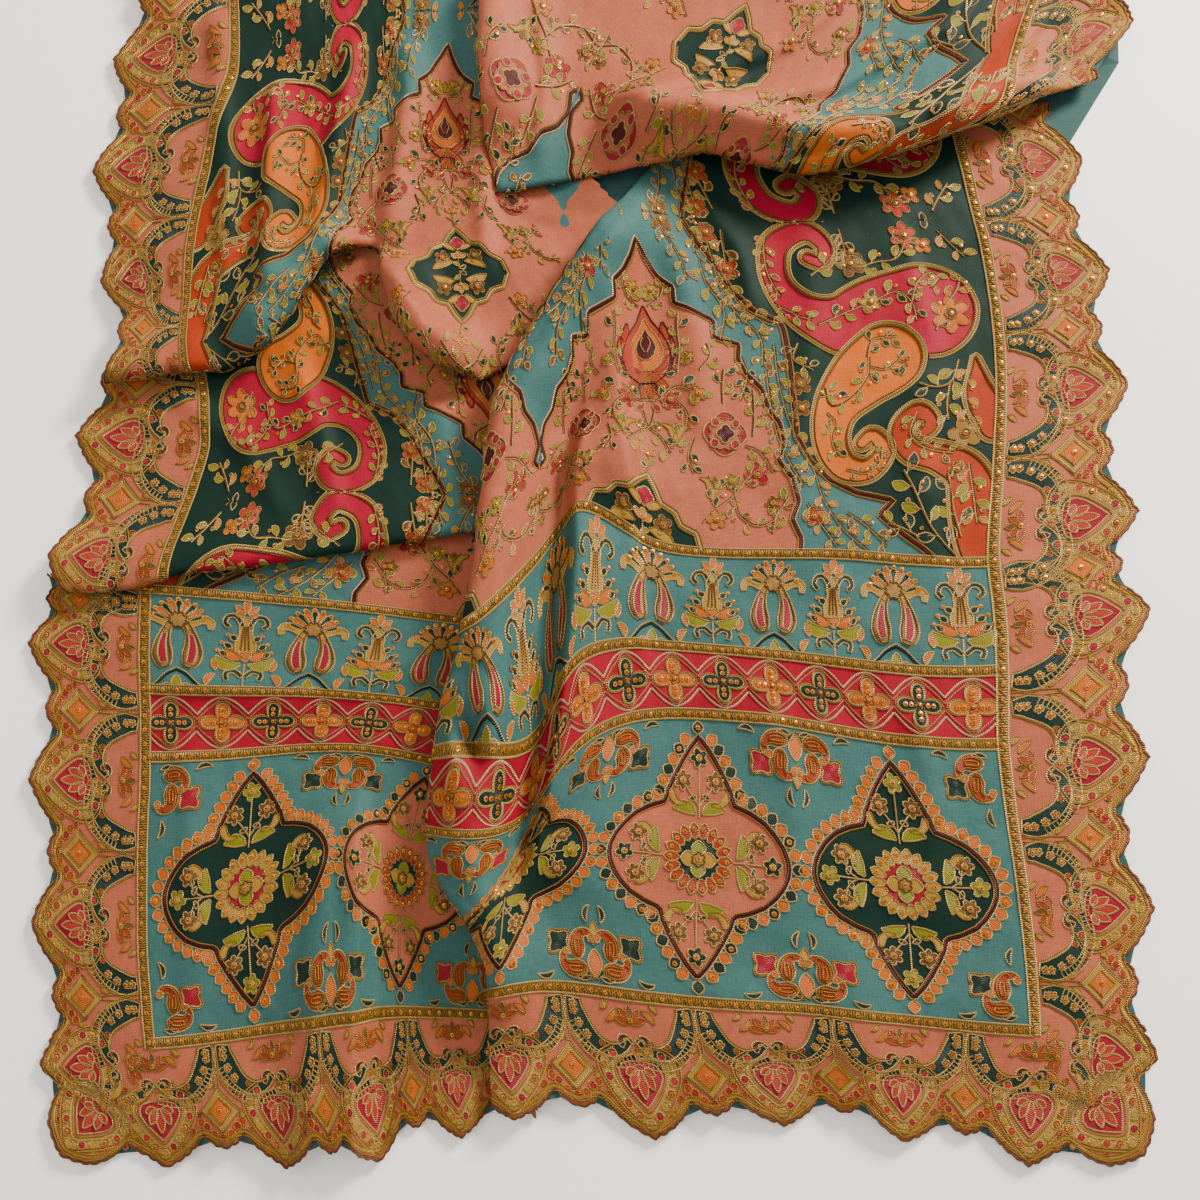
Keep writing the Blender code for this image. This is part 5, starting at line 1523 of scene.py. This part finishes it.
def within(net, cloth):
    """Which cloth points the net's stretch shows."""
    rows, columns = net["inside"].shape
    place = np.round((cloth - net["low"]) / NET_STEP).astype(int)
    ok = (place >= 0).all(1) & (place[:, 0] < columns) & (place[:, 1] < rows)
    found = net["inside"][place[:, 1].clip(0, rows - 1), place[:, 0].clip(0, columns - 1)]
    return ok & found


def hidden(net, cloth):
    """Which cloth points lie well under another stretch, where no sewing is made."""
    table = on_table(net["stretch"], cloth)
    covered = np.zeros(len(cloth), bool)
    for upper in ABOVE[net["stretch"]]:
        outline = np.concatenate([line for _, line in OUTLINES[upper]])
        spots = np.nonzero(inside_loop(outline, table))[0]
        if len(spots):
            gap = np.full(len(spots), np.inf)
            for spot in resampled(outline, 9.0):
                gap = np.minimum(gap, np.hypot(*(table[spots] - spot).T))
            covered[spots[gap > COVERED_GAP]] = True
    return covered


def twice_area(cloth, faces):
    """Twice the area of each face on the flat cloth, less than zero where it runs clockwise."""
    a, b, c = (cloth[faces[:, i]] for i in range(3))
    return (b[:, 0] - a[:, 0]) * (c[:, 1] - a[:, 1]) - (b[:, 1] - a[:, 1]) * (c[:, 0] - a[:, 0])


def facing_up(cloth, faces):
    """Faces turned so that they run the same way round on the flat cloth."""
    return np.where((twice_area(cloth, faces) < 0)[:, None], faces[:, ::-1], faces)


def mesh_piece(name, points, faces, surface, maps=(), colours=(), numbers=()):
    """A mesh with its maps, colours and numbers at the points, one material, shaded smooth."""
    used, index = np.unique(faces, return_inverse=True)
    faces = index.reshape(faces.shape).astype(np.int32)
    points = points[used]
    mesh = bpy.data.meshes.new(name)
    mesh.vertices.add(len(points))
    mesh.vertices.foreach_set("co", points.astype(np.float32).ravel())
    mesh.loops.add(faces.size)
    mesh.loops.foreach_set("vertex_index", faces.ravel())
    mesh.polygons.add(len(faces))
    mesh.polygons.foreach_set("loop_start", np.arange(0, faces.size, 3, dtype=np.int32))
    mesh.polygons.foreach_set("use_smooth", np.ones(len(faces), bool))
    mesh.update(calc_edges=True)
    for map_name, values in maps:
        layer = mesh.uv_layers.new(name=map_name)
        layer.data.foreach_set("uv", values[used][faces.ravel()].astype(np.float32).ravel())
    for colour_name, values in colours:
        layer = mesh.attributes.new(colour_name, "FLOAT_COLOR", "POINT")
        full = np.concatenate([values[used], np.ones((len(used), 1))], 1)
        layer.data.foreach_set("color", full.astype(np.float32).ravel())
    for number_name, values in numbers:
        layer = mesh.attributes.new(number_name, "FLOAT", "POINT")
        layer.data.foreach_set("value", values[used].astype(np.float32))
    mesh.validate()
    piece = bpy.data.objects.new(name, mesh)
    piece.data.materials.append(surface)
    bpy.context.scene.collection.objects.link(piece)
    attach(piece, "root")
    return piece


def depth_in(loop, points):
    """How deep points lie inside a closed loop, less than zero outside: the distance to its nearest side."""
    loop = np.asarray(loop, float)
    nearest = np.full(len(points), EDGE_CLIP)
    for start, end in zip(loop, np.roll(loop, -1, axis=0)):
        run = end - start
        off = points - start
        share = np.clip(off @ run / max(run @ run, 1e-9), 0, 1)
        nearest = np.minimum(nearest, np.linalg.norm(off - share[:, None] * run, axis=1))
    return np.where(inside_loop(loop, points), nearest, -nearest)


def grounds(cloth):
    """How deep each cloth point lies in the pink, green and crimson grounds; what is left is teal."""
    u, v = cloth[:, 0], cloth[:, 1]
    rest = (v - FIELD_SEAM) % (2 * HALF_REPEAT)
    repeat = np.stack([np.abs(u), np.minimum(rest, 2 * HALF_REPEAT - rest)], -1)
    in_field = np.minimum(v - FIELD_SEAM, FIELD_HALF_WIDTH - np.abs(u))
    pink = np.minimum(depth_in(mirrored(PINK_EDGE, PINK_AXIS), repeat), in_field)
    side = GREEN_EDGE + [(FIELD_HALF_WIDTH + 5, -6), (FIELD_HALF_WIDTH + 5, 262)]
    green = np.maximum.reduce([
        depth_in(side, repeat), depth_in(mirrored(CENTRE_EDGE, 0), repeat),
        depth_in([(a + PINK_AXIS, f) for a, f in mirrored(HEART_EDGE, 0)] + [(PINK_AXIS, -6)], repeat),
    ])
    green = np.minimum(green, in_field)
    middle = (HEM_SEAM + STRIP_LOW_SEAM) / 2
    for k in range(-2, 3):
        depth = depth_in(four_ways(MEDALLION) + (MEDALLION_PITCH * k, middle), cloth)
        pink, green = (np.maximum(pink, depth), green) if k % 2 else (pink, np.maximum(green, depth))
    pink = np.maximum(pink, np.maximum(np.abs(u) - FIELD_HALF_WIDTH, HEM_SEAM - v))
    crimson = np.minimum(np.minimum(v - STRIP_LOW_SEAM, STRIP_HIGH_SEAM - v), FIELD_HALF_WIDTH - np.abs(u))
    patches = [
        (dye, np.minimum(in_field, np.maximum.reduce(
            [depth_in(loop, repeat) for name, loop in CURLED_LOOPS.items() if name.startswith(dye)])))
        for dye in PATCH_DYES
    ]
    return [(name, np.clip(depth, -EDGE_CLIP, EDGE_CLIP))
            for name, depth in [("pink", pink), ("green", green), ("crimson", crimson)] + patches]


def cloth_piece(net, name, cloth, lift, faces, surface, slot):
    """A piece of cloth, kept where its stretch shows and welded where points meet, with the size and area
    of its part of the flat cloth."""
    faces = faces[within(net, cloth)[faces].all(1)]
    faces = facing_up(cloth, faces) if np.ndim(lift) == 0 else faces
    spots = np.round(np.concatenate([cloth, np.broadcast_to(lift, len(cloth))[:, None]], 1), 3)
    _, first, index = np.unique(spots, axis=0, return_index=True, return_inverse=True)
    faces = index.ravel()[faces]
    faces = faces[(faces[:, 0] != faces[:, 1]) & (faces[:, 1] != faces[:, 2]) & (faces[:, 0] != faces[:, 2])]
    cloth, lift = cloth[first], np.broadcast_to(lift, len(cloth))[first]
    points = over(net, cloth, lift)
    piece = mesh_piece(name, points, faces, surface, [("cloth", cloth * MM)], (), grounds(cloth))
    used = cloth[np.unique(faces)]
    return piece, used.max(0) - used.min(0), np.abs(twice_area(cloth, faces)).sum() / 2


def panel_grid(low, high):
    """A grid over the cloth from side to side and from low to high along it."""
    across_count = int(2 * FIELD_HALF_WIDTH / PANEL_STEP) + 1
    along_count = int((high - low) / PANEL_STEP) + 2
    u, v = np.meshgrid(np.linspace(-FIELD_HALF_WIDTH, FIELD_HALF_WIDTH, across_count),
                       np.linspace(low, high, along_count))
    return np.stack([u, v], -1).reshape(-1, 2), 0.0, net_faces(along_count, across_count)


def rows_out(base, out, rows):
    """A grid of rows out from stations, each row at its distances and with its lift."""
    cloth = np.stack([base + out * distance[:, None] for distance, _ in rows])
    lifts = np.repeat([lift for _, lift in rows], len(base))
    return cloth.reshape(-1, 2), lifts, net_faces(len(rows), len(base))


def border_grid(first, last):
    """The border's rows at stations first to last: even shares of its reach, then the turned rim."""
    base, out, reach = (row[first:last] for row in STATIONS)
    rows = [(reach * share, 0.0) for share in np.linspace(0, 1, BORDER_ROWS)]
    return rows_out(base, out, rows + [(reach + past, lift) for past, lift in RIM_LIFT])


def lining_grid():
    """The lining's rows, from its start to a little short of the reach's running mean."""
    base, out, reach = STATIONS
    width = running_mean(reach, 13) - LINING_INSET - LINING_START
    return rows_out(base, out, [(LINING_START + width * share, LINING_LIFT)
                                for share in np.linspace(0, 1, LINING_ROWS)])


def silk_sheets(stretch, net, silk):
    """The stretch's panels and borders: each node's name with its piece, flat size and flat area."""
    count = len(STATIONS[0])
    sides = int((STATIONS[0][: count // 2, 1] > HEM_SEAM).sum())
    side = stacked([border_grid(0, sides + 1), border_grid(count - sides - 1, count)])
    side[2] = side[2][~hidden(net, side[0])[side[2]].any(1)]
    grids = [(name, slot, panel_grid(low, high)) for name, slot, low, high in PANELS]
    grids.append(("side_border", "pink silk", side))
    grids.append(("hem_border", "pink silk", border_grid(sides, count - sides)))
    return [
        (f"{stretch}_{name}", *cloth_piece(net, f"{stretch}_{name}_silk", *grid, silk, slot))
        for name, slot, grid in grids if f"{stretch}_{name}" in NODES
    ]


def sewn_pieces(stretch, net, sewing, surfaces):
    """The stretch's lining edge, threads, satin stitch, gold bands and sequins."""
    cloth, lift, faces = lining_grid()
    faces = faces[~hidden(net, cloth)[faces].any(1)]
    lining = cloth_piece(net, f"{stretch}_lining_silk", cloth, lift, faces, surfaces["lining"], "teal silk")
    pieces = [lining[0]]
    for kind, (points, rise, faces, dye, stitch) in sewing.items():
        chosen = faces[within(net, points)[faces].all(1)]
        if not len(chosen):
            continue
        chosen = facing_up(points, chosen[~hidden(net, points[chosen[:, 0]])])
        used, index = np.unique(chosen, return_inverse=True)
        piece = mesh_piece(f"{stretch}_{PIECE_WORDS[kind]}", over(net, points[used], rise[used]),
                           index.reshape(chosen.shape), surfaces[kind], [("stitch", stitch[used])],
                           [("dye", dye[used])])
        if kind == "band":
            ours = [node for node in NODES if node.startswith(stretch)]
            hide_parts(*[node for node in ours if node.endswith("gold_band")])
        pieces.append(piece)
    return pieces


def build_stretch(stretch, sewing, surfaces):
    """All pieces of one stretch: its silk sheets, whose nodes it hides, and its sewn pieces."""
    net = net_of(stretch)
    sheets = silk_sheets(stretch, net, surfaces["silk"])
    sewn = sewn_pieces(stretch, net, sewing, surfaces)
    for sheet in sheets:
        node, piece, size, area = sheet
        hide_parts(node)


def sewing_by_kind():
    """All sewing as arrays for each kind of piece; the border's threads are a kind of their own."""
    sewing = {kind: stacked(rows) for kind, rows in SEWN.items()}
    points, rise, faces, dye, stitch = sewing["thread"]
    first = points[faces[:, 0]]
    on_border = (np.abs(first[:, 0]) > FIELD_HALF_WIDTH) | (first[:, 1] < HEM_SEAM)
    sewing["thread"] = points, rise, faces[~on_border], dye, stitch
    sewing["edging"] = points, rise, faces[on_border], dye, stitch
    return sewing


# Materials

class Nodes:
    """Short ways to add shader nodes to a material."""

    def __init__(self, name):
        self.material = bpy.data.materials.new(name)
        self.material.use_nodes = True
        self.tree = self.material.node_tree
        self.shader = self.tree.nodes["Principled BSDF"]

    def add(self, kind, settings=(), **inputs):
        """A node with its settings; an input is named by its socket, or by i and its number."""
        node = self.tree.nodes.new(kind)
        for key, value in dict(settings).items():
            setattr(node, key, value)
        for key, value in inputs.items():
            socket = node.inputs[int(key[1:])] if key[0] == "i" and key[1:].isdigit() else node.inputs[key]
            if isinstance(value, bpy.types.NodeSocket):
                self.tree.links.new(value, socket)
            else:
                socket.default_value = value
        return node

    def place(self):
        """The place on the object, in metres."""
        return self.add("ShaderNodeTexCoord").outputs["Object"]

    def map(self, name):
        """The place on a flat map of the piece."""
        return self.add("ShaderNodeUVMap", {"uv_map": name}).outputs[0]

    def stitch(self):
        """How far along and aside of its path a sewn place is, in millimetres."""
        return self.add("ShaderNodeSeparateXYZ", (), i0=self.map("stitch")).outputs[:2]

    def math(self, operation, a, b=0.5):
        return self.add("ShaderNodeMath", {"operation": operation}, i0=a, i1=b).outputs[0]

    def mix(self, share, a, b, blend="MIX"):
        node = self.add("ShaderNodeMix", {"data_type": "RGBA", "blend_type": blend}, i0=share, i6=a, i7=b)
        return node.outputs[2]

    def spread(self, value, low, high, to_low=0.0, to_high=1.0):
        node = self.add("ShaderNodeMapRange", (), i0=value, i1=low, i2=high, i3=to_low, i4=to_high)
        return node.outputs[0]

    def toned(self, colour, first, second):
        """A colour times two shares."""
        return self.mix(1.0, colour, self.math("MULTIPLY", first, second), "MULTIPLY")

    def attribute(self, name, output=2):
        return self.add("ShaderNodeAttribute", {"attribute_name": name}).outputs[output]

    def noise(self, vector, scale, detail=2.0, stretch=(1, 1, 1)):
        mapping = self.add("ShaderNodeMapping", (), Vector=vector, Scale=stretch)
        node = self.add("ShaderNodeTexNoise", (), Vector=mapping.outputs[0], Scale=scale, Detail=detail)
        return node.outputs[0]

    def finish(self, colour, height=None, strength=0.2, distance=0.0004, **settings):
        """The material with its colour, bump and the shader's own settings."""
        self.tree.links.new(colour, self.shader.inputs["Base Color"])
        if height is not None:
            bump = self.add("ShaderNodeBump", (), Strength=strength, Distance=distance, Height=height)
            self.tree.links.new(bump.outputs[0], self.shader.inputs["Normal"])
        for key, value in settings.items():
            socket = self.shader.inputs[key.replace("_", " ")]
            if isinstance(value, bpy.types.NodeSocket):
                self.tree.links.new(value, socket)
            else:
                socket.default_value = value
        return self.material


def rgba(dye, share=1.0):
    """A dye, darker or lighter by a share, as four numbers."""
    return (*[float(level * share) for level in DYES[dye]], 1.0)


# Slubs of the silk: how fine, how many sizes of them, and how long they are either way
SLUBS = (100.0, 3.0, (1.2, 14.0, 1))
CROSS_SLUBS = (100.0, 3.0, (14.0, 1.2, 1))


def silk_material():
    """Dyed raw silk: the dye by how deep the cloth is in each ground, with slubs and a soft sheen."""
    make = Nodes("dyed raw silk")
    cloth = make.map("cloth")
    colour = make.mix(make.spread(make.attribute("pink"), -0.2, 0.2), rgba("teal"), rgba("pink"))
    for name in ("green", "crimson", *PATCH_DYES):
        colour = make.mix(make.spread(make.attribute(name), -0.2, 0.2), colour, rgba(name))
    slubs = make.noise(cloth, *SLUBS)
    cross_slubs = make.noise(cloth, *CROSS_SLUBS)
    both = make.math("ADD", slubs, cross_slubs)
    patches = make.noise(cloth, 14.0, 2.0)
    cloudy = make.spread(patches, 0.3, 0.7, 0.92, 1.08)
    colour = make.toned(colour, make.spread(both, 0.7, 1.3, 0.78, 1.2), cloudy)
    return make.finish(colour, both, 0.35, 0.0004, Roughness=0.62, Specular_IOR_Level=0.12)


def lining_material(coordinate):
    """Plain teal silk with slubs, on the cloth's map or on object coordinates."""
    make = Nodes("plain teal silk " + coordinate)
    slubs = make.noise(make.map("cloth") if coordinate == "map" else make.place(), *SLUBS)
    colour = make.mix(make.spread(slubs, 0.3, 0.7), rgba("teal", 0.6), rgba("teal", 0.85))
    return make.finish(colour, slubs, 0.3, 0.0004, Roughness=0.7, Specular_IOR_Level=0.12)


def satin_material():
    """Satin stitch: the dye with stripes across the shape at each stitch and a low gloss."""
    make = Nodes("satin stitch")
    dye = make.attribute("dye", 0)
    along, aside = make.stitch()
    grain = make.noise(make.place(), 900.0, 2.0)
    turn = make.math("ADD", make.math("MULTIPLY", along, 5.2), make.math("MULTIPLY", aside, 1.6))
    waves = make.math("SINE", make.math("ADD", turn, make.math("MULTIPLY", grain, 3.0)), 0.0)
    colour = make.toned(dye, make.spread(waves, -1, 1, 0.82, 1.1), make.spread(grain, 0.3, 0.7, 0.88, 1.12))
    return make.finish(colour, waves, 0.5, 0.0004, Roughness=0.5, Specular_IOR_Level=0.2)


def thread_material():
    """Twisted gold thread: the dye with slanted stripes, half metal, with glints: painted highlights that
    lighten the colour at random spots, which are also made smoother.
    """
    make = Nodes("twisted gold thread")
    dye = make.attribute("dye", 0)
    along, aside = make.stitch()
    turn = make.math("ADD", make.math("MULTIPLY", along, 4.4), make.math("MULTIPLY", aside, 4.0))
    waves = make.math("SINE", turn, 0.0)
    # Painted glints: random spots where the colour is lightened as if lit, and the roughness is lowered
    glints = make.noise(make.place(), 1300.0, 1.0)
    colour = make.toned(dye, make.spread(waves, -1, 1, 0.72, 1.12), make.spread(glints, 0.35, 0.7, 0.8, 1.25))
    roughness = make.spread(glints, 0.3, 0.7, 0.55, 0.36)
    return make.finish(colour, waves, 0.6, 0.0005, Roughness=roughness, Metallic=0.4, Specular_IOR_Level=0.3)


def band_material():
    """Gold braid: bright metal thread across the band with dark gaps, and painted glints that lighten and
    darken its colour at random spots.
    """
    make = Nodes("gold braid")
    waves = make.math("SINE", make.math("MULTIPLY", make.stitch()[0], 3.6), 0.0)
    # Painted glints: random spots where the braid's colour is lightened as if lit, or darkened
    glints = make.noise(make.place(), 1100.0, 2.0)
    colour = make.mix(make.spread(waves, -0.8, 0.6), rgba("bronze", 0.7), rgba("band"))
    colour = make.mix(1.0, colour, make.spread(glints, 0.3, 0.7, 0.7, 1.35), "MULTIPLY")
    return make.finish(colour, waves, 0.7, 0.0006, Roughness=0.4, Metallic=0.45)


def sequin_material():
    """Small metal rings with painted glints: their colour lighter and darker by their place, as if lit, and a
    bump from the same noise.
    """
    make = Nodes("metal rings")
    dye = make.attribute("dye", 0)
    # Painted glints: the colour is lightened and darkened at random spots as if lit; the same noise also
    # gives a real bump
    glints = make.noise(make.place(), 420.0, 1.0)
    colour = make.mix(1.0, dye, make.spread(glints, 0.35, 0.65, 0.75, 1.5), "MULTIPLY")
    return make.finish(colour, glints, 0.3, 0.0006, Roughness=0.3, Metallic=0.7)


def floor_material():
    """A plain pale floor."""
    make = Nodes("pale floor")
    cloud = make.noise(make.place(), 1.3, 1.0)
    colour = make.mix(cloud, (0.91, 0.895, 0.87, 1), (0.94, 0.925, 0.9, 1))
    return make.finish(colour, Roughness=0.9)


def build_floor():
    """A large flat floor at the underside."""
    reach = 6.0
    corners = [(-reach, -reach, 0), (reach, -reach, 0), (reach, reach, 0), (-reach, reach, 0)]
    mesh = bpy.data.meshes.new("floor")
    mesh.from_pydata(corners, [], [(0, 1, 2, 3)])
    floor = bpy.data.objects.new("floor", mesh)
    floor.data.materials.append(floor_material())
    bpy.context.scene.collection.objects.link(floor)


def aimed(spot, target):
    """The turn of a lamp at a spot that looks at a target."""
    return (Vector(target) - Vector(spot)).to_track_quat("-Z", "Y").to_euler()


# Lamps: name, place, size in metres, power
LAMPS = [("key", (1.5, 1.6, 1.2), 0.6, 168), ("fill", (-1.2, 0.6, 2.2), 1.6, 15)]


def build_light():
    """Soft studio light: a pale surround, a key from the far right and a large fill from the left."""
    world = bpy.data.worlds.new("pale surround")
    bpy.context.scene.world = world
    world.use_nodes = True
    surround = world.node_tree.nodes["Background"]
    surround.inputs["Color"].default_value = (1.0, 0.955, 0.9, 1)
    surround.inputs["Strength"].default_value = 1.05
    for name, spot, size, power in LAMPS:
        lamp = bpy.data.lights.new(name, "AREA")
        lamp.energy, lamp.size = power, size
        lamp.color = (1.0, 0.93, 0.83)
        holder = bpy.data.objects.new(name, lamp)
        holder.location = spot
        holder.rotation_euler = aimed(spot, (0, 0, 0))
        bpy.context.scene.collection.objects.link(holder)


CAMERA_PLACE = (-0.0053, -0.2274, 0.894)
SENSOR_WIDTH = 36.0


def build_camera():
    """The photo's camera, nearly overhead."""
    lens = bpy.data.cameras.new("camera")
    lens.lens = SENSOR_WIDTH * CAMERA_REACH / (2 * PHOTO_MIDDLE)
    lens.sensor_width = SENSOR_WIDTH
    camera = bpy.data.objects.new("camera", lens)
    camera.location = CAMERA_PLACE
    camera.rotation_euler = (CAMERA_TILT, 0, 0)
    bpy.context.scene.collection.objects.link(camera)
    bpy.context.scene.camera = camera


sew_edge()
sew_border()
sew_bands()
sew_end_panel()
sew_cross_strip()
sew_flower_band()
sew_field_motifs()
SEWING = sewing_by_kind()
SURFACES = {"silk": silk_material(), "lining": lining_material("map"), "thread": thread_material(),
            "shape": satin_material(), "band": band_material(), "sequin": sequin_material()}
SURFACES["edging"] = SURFACES["thread"]
for stretch in SPOTS:
    build_stretch(stretch, SEWING, SURFACES)
for holder in bpy.data.objects["backing_layers"].material_slots:
    holder.material = lining_material("object")
build_floor()
build_light()
build_camera()
